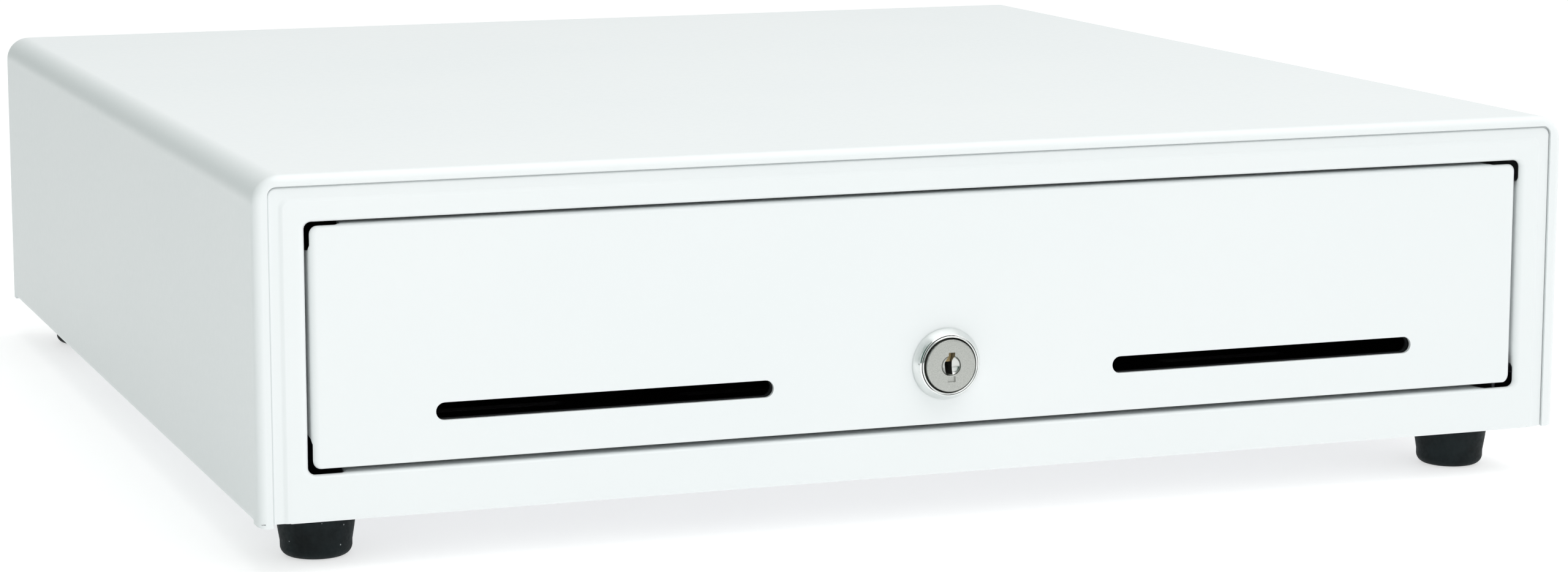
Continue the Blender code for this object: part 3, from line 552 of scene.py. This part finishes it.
def cover_shell():
    """The wrapped cover: a rolled front lip, flanged feet of its sides and a folded rear lip."""
    half, corner = WIDTH / 2, 8.0
    shoulder = 17.0  # the lower edge's bends and steps end below this height
    lip_half, lip_top, lip_corner = 200.8, 108.9, 2.6
    bend, rear_bend, foot_bend, rear_wide = 2.6, 2.0, 1.8, 12
    low, tab_low, cut_up = COVER_BOTTOM, 13.8, 1.3
    bm = bmesh.new()

    def wrap(inset, y, left, right):
        points = arch(half - inset, HEIGHT - inset, corner - inset, (right, shoulder), (left, shoulder))
        return [(x, y, z) for x, z in points]

    rows = [wrap(0, 6.0, low, low), wrap(0, 4.4, low, low + cut_up)]
    for angle in range(0, 91, 10):
        a = math.radians(angle)
        left, right = low + (tab_low - low) * angle / 90, low + cut_up * (1 - 0.55 * angle / 90)
        rows.append(wrap(bend * (1 - math.cos(a)), bend * (1 - math.sin(a)), left, right))
    lip_right, lip_left = (low + 0.4 * cut_up, shoulder), (tab_low + 0.2, shoulder)
    lip = arch(lip_half, lip_top, lip_corner, lip_right, lip_left)
    rows.append([(x, 0, z) for x, z in lip])
    strip(bm, rows)

    foot = [(196.0, low)] + arc(half - foot_bend, low + foot_bend, foot_bend, -90, 0, 6)[:-1]
    over = arch(half, HEIGHT, corner, (shoulder,), (shoulder,))
    middle = foot + over + [(-x, z) for x, z in reversed(foot)]
    strip(bm, [[(x, y, z) for x, z in middle] for y in (6.0, DEPTH - 6)])

    rows = [wrap(0, DEPTH - 6, low, low)]
    for angle in range(0, 91, 15):
        a = math.radians(angle)
        rows.append(wrap(rear_bend * (1 - math.cos(a)), DEPTH - rear_bend * (1 - math.sin(a)), low, low))
    rear_lip = arch(half - rear_wide, HEIGHT - rear_wide, 2.6, (low, shoulder), (low, shoulder))
    rows.append([(x, DEPTH, z) for x, z in rear_lip])
    strip(bm, rows)

    shell = thicken(as_object(bm, "cover", ((0, 200, HEIGHT), (0, 0, 1))), 1.0)
    relief = prism(stadium(1.5 - half, 15.1, 1.1, 0.42), -1, 2.2, "Y")
    centres = [(side * COVER_SCREW_X, y) for side in (-1, 1) for y in COVER_SCREW_Y]
    screw_holes = [cylinder(1.8, centre, 13, 18, "Z", 20) for centre in centres]
    return soften(cut(shell, relief, *screw_holes), 0.2)


def bend_angles(low, high, count):
    """Angles round a bend, in radians, from the face at 0 to the flange at 90 degrees."""
    return [math.radians(low + (high - low) * i / count) for i in range(count + 1)]


def rolled_face(bm, face, box, corner, grow, margin, stops, ring_end, fold_steps, back, around=(), holes=()):
    """A flat sheet with a rounded edge, which runs all round for the bend's first ring_end degrees.

    Past those it is four separate flanges along the straight stretches, with slanted ends, down to the depth
    back. box holds half the width, the low and the high edge. grow is how far the rounding reaches at the
    sides, bottom and top: more than 0 round an opening, and less than 0 round a panel. The sheet is flat from
    margin beyond that. around holds the sheet's outline if this edge isn't it, and holes its other holes.
    """
    half, low, high = box
    across, below, above = grow
    top_x, bottom_x, low_z, high_z = stops
    slant = 2.6

    def loop(rest):
        return window(half, low, high, corner, (across * rest, below * rest, above * rest), stops)

    def depth(cosine):
        return face + abs(across) * (1 - cosine)

    def upright(sign, rest, y, short):
        x = sign * (half + across * rest)
        return (x, y, low_z + short), (x, y, high_z - short)

    def level(z, reach, y, short):
        return (short - reach, y, z), (reach - short, y, z)

    hold = window(half, low, high, corner, [g + math.copysign(margin, g) for g in grow], stops)
    plate(bm, [*around, hold, *holes], lambda x, z: (x, face, z))
    rings = [[(x, face, z) for x, z in hold]]
    for a in bend_angles(0, ring_end, 6):
        rings.append([(x, depth(math.cos(a)), z) for x, z in loop(1 - math.sin(a))])
    strip(bm, [ring + ring[:1] for ring in rings])

    sides = (
        lambda rest, y, short: upright(-1, rest, y, short),
        lambda rest, y, short: upright(1, rest, y, short),
        lambda rest, y, short: level(high + above * rest, top_x, y, short),
        lambda rest, y, short: level(low - below * rest, bottom_x, y, short),
    )
    start = math.radians(ring_end)
    for side in sides:
        rows = []
        for a in bend_angles(ring_end, 90, fold_steps):
            rows.append(side(1 - math.sin(a), depth(math.cos(a)), slant * (a - start)))
        left, right = side(0, face, slant)
        rows.append([(left[0], back, left[2]), (right[0], back, right[2])])
        strip(bm, rows)


def bezel_frame():
    """The frame round the drawer front: a raised field with a soft step, and its folded edges."""
    low, base_bend, deep = BEZEL_LOW, 0.9, 12.0
    end_low = low + 0.3
    foot_half, field_corner = 195.6, 1.5
    corner_x, corner_z = 198.1, 105.85  # the centre that the band's round outer corner keeps
    step_half, step_top, step_wide = 196.4, 104.2, 1.5
    bm = bmesh.new()

    outline = arch(step_half, step_top, field_corner, (end_low,), (end_low,))
    outline += [(-foot_half, end_low), (-foot_half, low + base_bend)]
    outline += [(foot_half, low + base_bend), (foot_half, end_low)]
    box, stops = (BAY_HALF, BAY_LOW, BAY_HIGH), (182.0, 181.0, 34.0, 93.0)
    rolled_face(bm, FIELD_FACE, box, 2.0, (1.9, 1.1, 1.2), 0.5, stops, 70, 2, deep, around=[outline])

    rise = BAND_FACE - FIELD_FACE
    rows = []
    for t in (0, 0.2, 0.4, 0.6, 0.8, 1.0):
        out, eased = step_wide * t, 3 * t * t - 2 * t ** 3
        points = arch(step_half + out, step_top + out, field_corner + out, (end_low,), (end_low,))
        rows.append((FIELD_FACE + rise * eased, points))
    for half, deeper in ((200.25, 0), (200.4, 0.05), (200.6, 0.22), (200.72, 0.45), (200.76, 0.7)):
        corner = half - corner_x
        points = arch(half, corner_z + corner, corner, (end_low + 0.2,), (end_low,))
        rows.append((BAND_FACE + deeper, points))
    rows.append((BAND_FACE + 0.7, arch(203.4, INNER_TOP, 5.4, (low + 1.2,), (low + 0.4,))))
    strip(bm, [[(x, y, z) for x, z in points] for y, points in rows])

    fold = []
    for a in bend_angles(0, 90, 6):
        fold.append((low + base_bend * (1 - math.sin(a)), FIELD_FACE + base_bend * (1 - math.cos(a))))
    strip(bm, [[(x, y, z) for x in (-foot_half, foot_half)] for z, y in fold + [(low, deep)]])
    made = as_object(bm, "bezel", ((0, FIELD_FACE, 20), (0, -1, 0)))
    return soften(thicken(made, 1.1), 0.14)


def front_panel():
    """The drawer front: one folded sheet with rounded edges, two media slots and a lock hole."""
    bm = bmesh.new()
    holes = [stadium(side * SLOT_X, SLOT_Z, SLOT_LENGTH, SLOT_HEIGHT) for side in (-1, 1)]
    holes.append(arc(0, LOCK_Z, 9.8, 0, 360, 64)[:-1])
    box, stops = (PANEL_HALF, PANEL_LOW, PANEL_HIGH), (181.6, 181.0, 36.5, 92.0)
    rolled_face(bm, PANEL_FACE, box, 2.5, (-2.0, -0.5, -1.5), 0.3, stops, 60, 3, 11.0, holes=holes)
    made = as_object(bm, "panel", ((0, PANEL_FACE, 80), (0, -1, 0)))
    return soften(thicken(made, 1.1), 0.14)


def foot(side, y):
    """A rubber foot, widest near its top, with a round lower edge and a recess for its screw."""
    profile = [(2.1, 16.2), (11.3, 16.2), (11.9, 15.7), (11.6, 13.0), (10.9, 8.0), (10.3, 4.4)]
    profile += arc(7.3, 3.0, 3.0, -8, -90, 8)
    profile += [(4.6, 0.0), (4.2, 0.4), (4.2, 6.0), (2.1, 6.0)]
    piece = turned(profile, (side * FOOT_X, y), "Z", closed=True, sides=72)
    piece.data.shade_smooth()
    piece.data.set_sharp_from_angle(angle=math.radians(50))
    return piece


# ---------------------------------------------------------------- lock

def lock_ring():
    """The chrome housing: a steep conical collar, a fine groove and a narrow rounded rim round the bore."""
    profile = [
        (8.1, 27.0), (9.4, 27.0), (9.4, 0.35), (10.45, 0.35), (10.6, 0.2), (10.6, -0.1), (10.5, -0.4),
        (10.1, -1.15), (9.7, -1.8), (9.35, -2.35), (9.2, -2.6), (9.05, -2.75), (8.95, -2.75), (8.86, -2.65),
        (8.84, -0.6), (8.69, -0.6), (8.68, -2.7), (8.61, -2.88), (8.45, -2.97), (8.28, -2.93), (8.16, -2.8),
        (8.1, -2.6),
    ]
    piece = turned(profile, (0, LOCK_Z), "Y", closed=True, sides=144)
    piece.data.shade_smooth()
    piece.data.set_sharp_from_angle(angle=math.radians(40))
    return piece


def lock_face():
    """The plug: a satin face with a polished dish, the keyway and a small notch below it."""
    face, radius, dish = -3.7, 7.75, 3.0
    z = LOCK_Z
    bowl = [(dish * math.sin(a), face + 0.1 + 1.5 * math.cos(a)) for a in bend_angles(0, 90, 9)]
    profile = [(0, face + 1.6)] + bowl[1:] + [(dish + 0.1, face), (radius - 0.45, face)]
    profile += [(radius - 0.2, face + 0.08), (radius, face + 0.42), (radius, 26.5), (0, 26.5)]
    plug = turned(profile, (0, z), "Y", sides=144)
    keyway = [
        (-0.85, z + 3.9), (1.15, z + 3.9), (1.15, z + 2.3), (0.75, z + 1.2), (0.75, z - 2.7),
        (-1.35, z - 2.7), (-1.55, z + 0.8), (-1.2, z + 1.4), (-0.85, z + 2.1),
    ]
    notch = [(-1.1, z - 4.8), (1.3, z - 4.8), (1.3, z - 3.15), (-1.1, z - 3.15)]
    plug = cut(plug, prism(keyway[::-1], face - 1, 14, "Y"), prism(notch, face - 1, face + 0.5, "Y"))
    plug.data.materials.clear()
    plug.data.materials.append(SATIN)
    plug.data.materials.append(POLISHED)
    centre = Vector((0, FRONT_Y + face, z)) * MM
    for polygon in plug.data.polygons:
        reach = polygon.center - centre
        in_dish = math.hypot(reach.x, reach.z) < dish * MM and reach.y < 1.7 * MM
        polygon.material_index = 1 if in_dish and abs(polygon.normal.y) > 0.05 else 0
    return soften(plug, 0.07, 2, 35)


def key_wards():
    """The brass of the keyway's upper half, seen inside the slot."""
    z = LOCK_Z
    outline = [(-1.45, z + 0.9), (0.65, z + 0.9), (0.7, z + 1.3), (1.05, z + 2.3), (1.05, z + 3.8)]
    outline += [(-0.75, z + 3.8), (-0.75, z + 2.1), (-1.15, z + 1.4)]
    return soften(prism(outline, -1.2, 9.0, "Y"), 0.05)


# ---------------------------------------------------------------- folded sheet

def ribbon(points, thickness):
    """The outline of a strip of sheet that follows points, with mitred bends."""
    sides = ([], [])
    for i, point in enumerate(points):
        here = Vector(point)
        before = (here - Vector(points[i - 1])).normalized() if i else None
        after = (Vector(points[i + 1]) - here).normalized() if i + 1 < len(points) else before
        before = before or after
        along = (before + after).normalized()
        across = Vector((-along.y, along.x)) * (thickness / 2 / along.dot(after))
        sides[0].append(tuple(here + across))
        sides[1].append(tuple(here - across))
    return sides[0] + sides[1][::-1]


def curved(points, radius, steps=6):
    """An open line of points with its corners rounded."""
    path = [Vector(p) for p in points]
    line = [tuple(path[0])]
    for before, here, after in zip(path, path[1:], path[2:]):
        back, onward = (before - here).normalized(), (after - here).normalized()
        half_angle = back.angle(onward) / 2
        reach = radius / math.tan(half_angle)
        centre = here + (back + onward).normalized() * (radius / math.sin(half_angle))
        first, last = here + back * reach - centre, here + onward * reach - centre
        for i in range(steps + 1):
            line.append(tuple(centre + first.slerp(last, i / steps).normalized() * radius))
    line.append(tuple(path[-1]))
    return line


def folded(points, radius, sheet, low, high, axis):
    """A folded sheet, from the middle line of its section, pushed along an axis."""
    return prism(ribbon(curved(points, radius), sheet), low, high, axis)


def drawer_box():
    """The drawer's box: a folded floor with its sides, and a back and a front sheet."""
    half, low, sheet, front, back = 176.0, 30.6, 1.0, 3.3, 350.0
    edge, floor = half - sheet / 2, low + sheet / 2
    tray = folded([(-edge, 91), (-edge, floor), (edge, floor), (edge, 91)], 2.0, sheet, front, back, "Y")
    rear = prism(rounded(-half, low, half, 84, 2.5), back - sheet, back, "Y")
    face = prism(rounded(-187, low, 187, 95.5, 4.0), front, front + sheet, "Y")
    slots = [prism(stadium(side * SLOT_X, SLOT_Z, SLOT_LENGTH, SLOT_HEIGHT), 2, 6, "Y") for side in (-1, 1)]
    barrel = cylinder(9.8, (0, LOCK_Z), 2, 6, "Y")
    rod = cylinder(5.3, (0, LOCK_Z), back - 3, back + 3, "Y")
    drains = [
        prism(stadium(x, y, 44, 5), low - 2, low + 3, "Z") for x in (-120, -40, 40, 120) for y in (60, 300)
    ]
    return soften(cut(join(tray, rear, face), barrel, rod, *slots, *drains), 0.25)


def base_pan():
    """The case's floor: low walls all round, screw holes, four keyholes and two rows of vents."""
    half, floor, sheet, keyhole_x = BASE_HALF, 17.0, 1.0, 150.0
    edge = half - sheet / 2
    pan = folded([(-edge, 28), (-edge, floor), (edge, floor), (edge, 28)], 1.4, sheet, 14, 405, "Y")
    front = folded([(4.4, 25.5), (4.4, floor), (60, floor)], 1.2, sheet, -189, 189, "X")
    rear = folded([(411.7, 26), (411.7, floor), (360, floor)], 1.2, sheet, -200, 200, "X")
    holes = []
    for side in (-1, 1):
        holes += [cylinder(2.3, (side * FOOT_X, y), 15, 19, "Z", 24) for y in FOOT_Y]
        holes += [cylinder(1.8, (side * COVER_SCREW_X, y), 15, 19, "Z", 24) for y in COVER_SCREW_Y]
        for y in (120, 290):
            holes.append(cylinder(4.2, (side * keyhole_x, y), 15, 19, "Z", 32))
            holes.append(prism(stadium(side * (keyhole_x - 5.5), y, 11, 4.4), 15, 19, "Z"))
        holes += [prism(stadium(side * 80.0, 170 + 12 * i, 60, 3.6), 15, 19, "Z") for i in range(7)]
    return soften(cut(join(pan, front, rear), *holes), 0.2)


def rear_panel():
    """The case's back, with a window for the socket, a fine ring round a knockout and two groups of vents."""
    socket_z, reach = 42.0, 8.4
    plate_face = prism(arch(BASE_HALF, INNER_TOP, 6.5, (16.6,), (16.6,)), 412.6, 413.6, "Y")
    opening = rounded(SOCKET_X - reach, socket_z - reach, SOCKET_X + reach, socket_z + reach, 1.0)
    holes = [prism(opening, 410, 416, "Y")]
    for side in (-1, 1):
        holes += [prism(stadium(side * 110.0, 72 + 5.5 * i, 64, 2.6), 410, 416, "Y") for i in range(4)]
    ring_profile = [(8.0, 413.3), (8.6, 413.3), (8.6, 414.2), (8.0, 414.2)]
    ring = turned(ring_profile, (-SOCKET_X, socket_z), "Y", closed=True)
    return soften(cut(plate_face, ring, *holes), 0.2)


def screw(centre, low, head, shank, top):
    """A cross-recess screw, pointing up. low is the bottom of its head, and head and shank are radii."""
    profile = [(0, low), (head * 0.45, low + 0.06), (head * 0.8, low + 0.35), (head, low + 0.9)]
    profile += [(head, low + 1.6), (shank, low + 1.6), (shank, top - 0.6), (shank - 0.5, top), (0, top)]
    x, y = centre
    long_arm, short_arm = 2.0, 0.46
    arms = [
        block(x - across, y - along, low - 1, x + across, y + along, low + 1.1)
        for across, along in ((long_arm, short_arm), (short_arm, long_arm))
    ]
    return soften(cut(turned(profile, centre, "Z", sides=48), *arms), 0.08)


# ---------------------------------------------------------------- slides

def rail(side, web, tips, half_height, ends, sheet=1.2, bend=1.8):
    """A rail or a cage: a C section from its web to the tips of its flanges, with rolled corners."""
    middle = side * (web + math.copysign(sheet / 2, tips - web))
    low, high = SLIDE_Z - half_height + sheet / 2, SLIDE_Z + half_height - sheet / 2
    path = [(side * tips, low), (middle, low), (middle, high), (side * tips, high)]
    return folded(path, bend, sheet, *ends, "Y")


def balls(side, x, rise):
    """The bearing balls of one cage, in its upper and its lower race."""
    count, first_y, pitch, radius = 14, 106.6, 11.6, 1.75
    bm = bmesh.new()
    for level in (-rise, rise):
        for i in range(count):
            where = Matrix.Translation((side * x, first_y + pitch * i, SLIDE_Z + level))
            bmesh.ops.create_icosphere(bm, subdivisions=2, radius=radius, matrix=where)
    piece = as_object(bm, "balls")
    piece.data.shade_smooth()
    return piece


def build_slides():
    """Both slides, each of three rails and two ball cages with their balls."""
    hole_places = (36, 182, 328)
    for side, word in ((-1, "left"), (1, "right")):
        outer = rail(side, 190.0, 179.4, 22.5, RAIL_ENDS)
        inner = rail(side, 176.4, 183.6, 12.5, RAIL_ENDS)
        for piece, x in ((outer, side * 189.0), (inner, side * 177.0)):
            cut(piece, *[cylinder(2.4, (y, SLIDE_Z), x - 4, x + 4, "X", 32) for y in hole_places])
        middle = rail(side, 186.9, 178.2, 17.5, RAIL_ENDS)
        outer_cage = rail(side, 188.3, 180.4, 19.9, CAGE_ENDS, 0.8, 1.4)
        inner_cage = rail(side, 185.2, 178.8, 14.7, CAGE_ENDS, 0.8, 1.4)
        for piece, name, body, finish, slot in (
            (outer, "outer_rail", "chassis", ZINC, "zinc_steel"),
            (middle, "middle_rail", "middle_rails", ZINC, "zinc_steel"),
            (inner, "inner_rail", "drawer", ZINC, "zinc_steel"),
            (outer_cage, "outer_ball_cage", "outer_cages", STEEL, "bright_steel"),
            (inner_cage, "inner_ball_cage", "inner_cages", STEEL, "bright_steel"),
        ):
            place(soften(piece, 0.2), f"rolled_{name}_{word}", body, finish, slot, f"{name}_{word}")
        place(balls(side, 182.8, 19.4), f"outer_balls_{word}", "outer_cages", BALL_STEEL, "bright_steel")
        place(balls(side, 181.4, 14.4), f"inner_balls_{word}", "inner_cages", BALL_STEEL, "bright_steel")


# ---------------------------------------------------------------- till

def bill_pocket(index):
    """The two sides of one bill compartment, from left to right."""
    pitch = (2 * (TILL_HALF - 2) + 2) / 5
    low = 2 - TILL_HALF + index * pitch
    return low, low + pitch - 2


def till():
    """The moulded insert: five bill compartments behind the bay of the coin tray, under one wide rim."""
    wall, top, bill_floor, coin_floor, coin_back, back = 2.0, 95.0, 52.0, 58.8, 121.5, 346.2
    half = TILL_HALF
    bills = prism(rounded(-half, coin_back, half, back, 3), bill_floor, top, "Z")
    coins = prism(rounded(-half, 6, half, coin_back + 6, 3), coin_floor, top, "Z")
    rim = prism(rounded(-176, 5, 176, back + 1.8, 4), 91.4, top, "Z")
    pockets = []
    for i in range(5):
        low, high = bill_pocket(i)
        pockets.append(prism(rounded(low, 124, high, back - wall, 3), bill_floor + wall, top + 5, "Z"))
    inner = half - wall
    pockets.append(block(-inner, 6 + wall, coin_floor + wall, inner, coin_back, top + 5))
    pockets.append(cylinder(2.4, (CLIP_Y, CLIP_Z), -180, 180, "X", 32))
    return soften(cut(join(bills, coins, rim), *pockets), 0.5, 3)


def scoop(y0, y1, floor, top, radius):
    """The section of a coin cup: straight above, round at the front and back of its floor."""
    return (
        [(y1, top), (y0, top)]
        + arc(y0 + radius, floor + radius, radius, 180, 270, 14)
        + arc(y1 - radius, floor + radius, radius, 270, 360, 14)
    )


def coin_tray():
    """The tray that lifts out: two rows of four round-bottomed cups."""
    wall, gap, floor, top, front, back = 2.0, 0.4, 61.1, 94.6, 8.4, 121.1
    half = TILL_HALF - wall - gap
    middle = (front + back) / 2
    rows = [(front, middle + wall / 2), (middle - wall / 2, back)]
    shells = [prism(scoop(y0, y1, floor, top, 20), -half, half, "X") for y0, y1 in rows]
    width = (2 * half - wall) / 4
    cups = []
    for y0, y1 in rows:
        outline = scoop(y0 + wall, y1 - wall, floor + wall, top + 3, 18)
        for i in range(4):
            left = wall - half + i * width
            cups.append(prism(outline, left, left + width - wall, "X"))
    return soften(cut(join(*shells), *cups), 0.6, 3)


def bill_clip(index):
    """A sprung clip: a ribbed arm from its hub on the rod to an upturned, ridged tip."""
    middle = sum(bill_pocket(index)) / 2
    arm = curved([(-3, -1), (-58, -15), (-98, -28.6), (-105, -30.2), (-112, -27)], 5)
    arm = [(CLIP_Y + y, CLIP_Z + z) for y, z in arm]
    blade = prism(ribbon(arm, 1.8), middle - 11, middle + 11, "X")
    hub_profile = [(0, -12), (4.5, -12), (4.8, -11.7), (4.8, 11.7), (4.5, 12), (0, 12)]
    hub = turned([(r, middle + x) for r, x in hub_profile], (CLIP_Y, CLIP_Z), "X", sides=48)
    bore = cylinder(2.5, (CLIP_Y, CLIP_Z), middle - 20, middle + 20, "X", 32)
    clip = cut(join(blade, hub), bore)
    extras = []
    ribs = [(CLIP_Y + y, CLIP_Z + z + 1.2) for y, z in curved([(-4, -1), (-58, -15), (-92, -26.6)], 5)]
    for x in (-8.5, 0, 8.5):
        extras.append(prism(ribbon(ribs, 1.8), middle + x - 0.8, middle + x + 0.8, "X"))
    for i in range(4):
        ridge = (CLIP_Y - 97 - 2.1 * i, CLIP_Z - 27.5 - 0.5 * i)
        extras.append(cylinder(0.5, ridge, middle - 9, middle + 9, "X", 16))
    return soften(gather(clip, *extras), 0.2)


def clip_rod():
    """The rod that the clips swing on, with chamfered ends."""
    half, radius, chamfer = 173.6, 2.1, 0.4
    profile = [(0, -half), (radius - chamfer, -half), (radius, chamfer - half)]
    profile += [(r, -x) for r, x in reversed(profile)]
    return soften(turned(profile, (CLIP_Y, CLIP_Z), "X", sides=32), 0.1)


def socket_contacts():
    """Six sprung contacts inside the interface socket."""
    half, pitch = 0.3, 1.4
    outline = ribbon(curved([(401, 38.4), (409, 38.9), (411, 37.6)], 1.0), 0.35)
    places = [SOCKET_X + pitch * (i - 2.5) for i in range(6)]
    return soften(gather(*[prism(outline, x - half, x + half, "X") for x in places]), 0.04)


# ---------------------------------------------------------------- the whole object

def keep_cad(node, finish):
    """A CAD node whose shape is right: rounded edges and a finish."""
    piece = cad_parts[node]
    for slot in piece.material_slots:
        slot.material = finish
    weld = piece.modifiers.new("Weld", "WELD")
    weld.merge_threshold = 0.000002
    soften(piece, CAD_EDGE)


KEPT = {
    ZINC: ["solenoid_frame", "latch_lever", "lock_nut", "lock_cam"],
    ZINC_UPRIGHT: ["side_bracket_left", "side_bracket_right", "latch_bracket", "lock_keeper", "striker"],
    STEEL: ["latch_pivot_pin", "switch_lever", "lock_rod"],
    IRON: ["solenoid_plunger"],
    COPPER: ["solenoid_coil"],
    NYLON: ["eject_spring_guide", "interface_socket", "switch_body", "rod_bushing"],
    JACKET: ["wiring_harness"],
}


def build_case():
    """The remodelled pieces that stay with the case, but for the slides."""
    place(cover_shell(), "cover_shell", "chassis", WHITE, "white_paint", "outer_cover")
    place(bezel_frame(), "bezel_frame", "chassis", WHITE, "white_paint", "front_bezel")
    place(rear_panel(), "vented_back", "chassis", WHITE, "white_paint", "rear_panel")
    place(base_pan(), "folded_base", "chassis", ZINC, "zinc_steel", "base_pan")
    for side, word in ((-1, "left"), (1, "right")):
        for y, screw_y, where in zip(FOOT_Y, COVER_SCREW_Y, ("front", "rear")):
            name = f"{where}_{word}"
            place(foot(side, y), f"rubber_foot_{name}", "chassis", RUBBER, "black_rubber", f"foot_{name}")
            for kind, fixing in (
                ("foot", screw((side * FOOT_X, y), 4.0, 3.5, 1.75, 21.0)),
                ("cover", screw((side * COVER_SCREW_X, screw_y), 13.4, 3.0, 1.5, 17.4)),
            ):
                node = f"{kind}_screw_{name}"
                place(fixing, f"cross_{node}", "chassis", STEEL, "bright_steel", node)
    place(socket_contacts(), "socket_contacts", "chassis", BRASS, "bright_steel")
    eject = soften(spring((90, 60), "Y", 6, 0.7, 350.9, 409.1, 9, 32), 0.1)
    place(eject, "wound_eject_spring", "chassis", STEEL, "bright_steel", "eject_spring")
    latch_y, latch_low = 372, 19.8
    latch = soften(spring((0, latch_y), "Z", 2.2, 0.45, latch_low, 76.6, 14), 0.05)
    place(latch, "wound_latch_spring", "chassis", STEEL, "bright_steel", "latch_spring")
    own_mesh(latch)


def build_drawer():
    """The remodelled pieces of the drawer: its front, box, till, tray, clips and lock."""
    place(front_panel(), "front_panel", "drawer", WHITE, "white_paint", "drawer_front")
    # The box's black is partly painted shade, seen through the slots and the gaps round the front.
    place(drawer_box(), "folded_box", "drawer", BOX_COAT_AND_SHADE, "black_paint", "drawer_box")
    place(till(), "moulded_till", "drawer", ABS, "till_plastic", "till")
    place(coin_tray(), "cupped_coin_tray", "drawer", ABS, "till_plastic", "coin_tray")
    place(clip_rod(), "turned_clip_rod", "drawer", STEEL, "bright_steel", "clip_rod")
    for i in range(5):
        name = f"bill_clip_{i + 1}"
        place(bill_clip(i), f"ribbed_{name}", f"clip_{i + 1}", ABS, "till_plastic", name)
    place(lock_ring(), "lock_ring", "drawer", CHROME, "chrome", "lock_housing")
    place(lock_face(), "lock_face", "lock", None, "satin_nickel", "lock_plug")
    place(key_wards(), "key_wards", "lock", BRASS, "satin_nickel")


def build():
    """The whole object: the remodelled pieces, and the CAD pieces that are kept."""
    build_case()
    build_drawer()
    build_slides()
    for finish, nodes in KEPT.items():
        for node in nodes:
            keep_cad(node, finish)


# ---------------------------------------------------------------- studio

def make_camera():
    """The camera at the photographed view."""
    data = bpy.data.cameras.new("camera")
    data.sensor_width = 36.0
    data.lens = CAMERA_LENS
    data.shift_x, data.shift_y = CAMERA_SHIFT
    data.clip_start, data.clip_end = 0.05, 50.0
    camera = bpy.data.objects.new("camera", data)
    bpy.context.scene.collection.objects.link(camera)
    camera.location = CAMERA_PLACE
    forward = Vector((
        math.sin(CAMERA_YAW) * math.cos(CAMERA_PITCH),
        math.cos(CAMERA_YAW) * math.cos(CAMERA_PITCH),
        -math.sin(CAMERA_PITCH),
    ))
    camera.rotation_mode = "QUATERNION"
    camera.rotation_quaternion = forward.to_track_quat("-Z", "Y") @ Quaternion((0, 0, 1), CAMERA_ROLL)
    bpy.context.scene.camera = camera


def area_light(name, place_at, target, size, power, colour=(1, 1, 1)):
    """A rectangular light that faces a target."""
    data = bpy.data.lights.new(name, "AREA")
    data.shape = "RECTANGLE"
    data.size, data.size_y = size
    data.energy = power
    data.color = colour
    light = bpy.data.objects.new(name, data)
    bpy.context.scene.collection.objects.link(light)
    light.location = place_at
    light.rotation_mode = "QUATERNION"
    light.rotation_quaternion = (Vector(target) - Vector(place_at)).to_track_quat("-Z", "Y")


def make_world():
    """A bright room that is darker and greener to the left, and a little darker low down."""
    world = bpy.data.worlds.new("studio")
    bpy.context.scene.world = world
    world.use_nodes = True
    tree = world.node_tree
    background = tree.nodes["Background"]
    background.inputs["Strength"].default_value = ROOM_STRENGTH
    parts = tree.nodes.new("ShaderNodeSeparateXYZ")
    tree.links.new(tree.nodes.new("ShaderNodeTexCoord").outputs["Generated"], parts.inputs[0])

    def ramp(axis, low, high, low_colour, high_colour):
        spread = tree.nodes.new("ShaderNodeMapRange")
        spread.inputs["From Min"].default_value = low
        spread.inputs["From Max"].default_value = high
        tree.links.new(parts.outputs[axis], spread.inputs["Value"])
        colours = tree.nodes.new("ShaderNodeMix")
        colours.data_type = "RGBA"
        colours.inputs[MIX_FIRST].default_value = (*low_colour, 1)
        colours.inputs[MIX_SECOND].default_value = (*high_colour, 1)
        tree.links.new(spread.outputs["Result"], colours.inputs[MIX_FACTOR])
        return colours.outputs[MIX_RESULT]

    sideways = ramp("X", -0.85, 0.15, ROOM_LEFT, (1, 1, 1))
    upward = ramp("Z", 0.0, 0.7, ROOM_LOW, (1, 1, 1))
    product = tree.nodes.new("ShaderNodeMix")
    product.data_type = "RGBA"
    product.blend_type = "MULTIPLY"
    product.inputs[MIX_FACTOR].default_value = 1.0
    tree.links.new(sideways, product.inputs[MIX_FIRST])
    tree.links.new(upward, product.inputs[MIX_SECOND])
    tree.links.new(product.outputs[MIX_RESULT], background.inputs["Color"])


def make_studio():
    """A pale floor in a bright room, with one soft light above and one in front."""
    bm = bmesh.new()
    marks = range(-FLOOR_REACH, FLOOR_REACH + 1, 1000)
    strip(bm, [[(x, y, 0) for x in marks] for y in marks])
    floor = as_object(bm, "studio_floor")
    floor.location.z = -FLOOR_DROP
    floor.data.materials.append(floor_finish())
    make_world()
    area_light("top_light", (0.3, -0.5, 1.9), (0, -0.1, 0), (2.2, 1.8), 24)
    area_light("front_light", (-0.4, -1.5, 0.6), (0, -0.2, 0.05), (1.6, 0.9), 3.1, (0.99, 1.0, 1.0))
    view = bpy.context.scene.view_settings
    view.view_transform = "Standard"
    view.look = "None"


make_camera()
make_studio()
build()

bpy.context.view_layer.update()
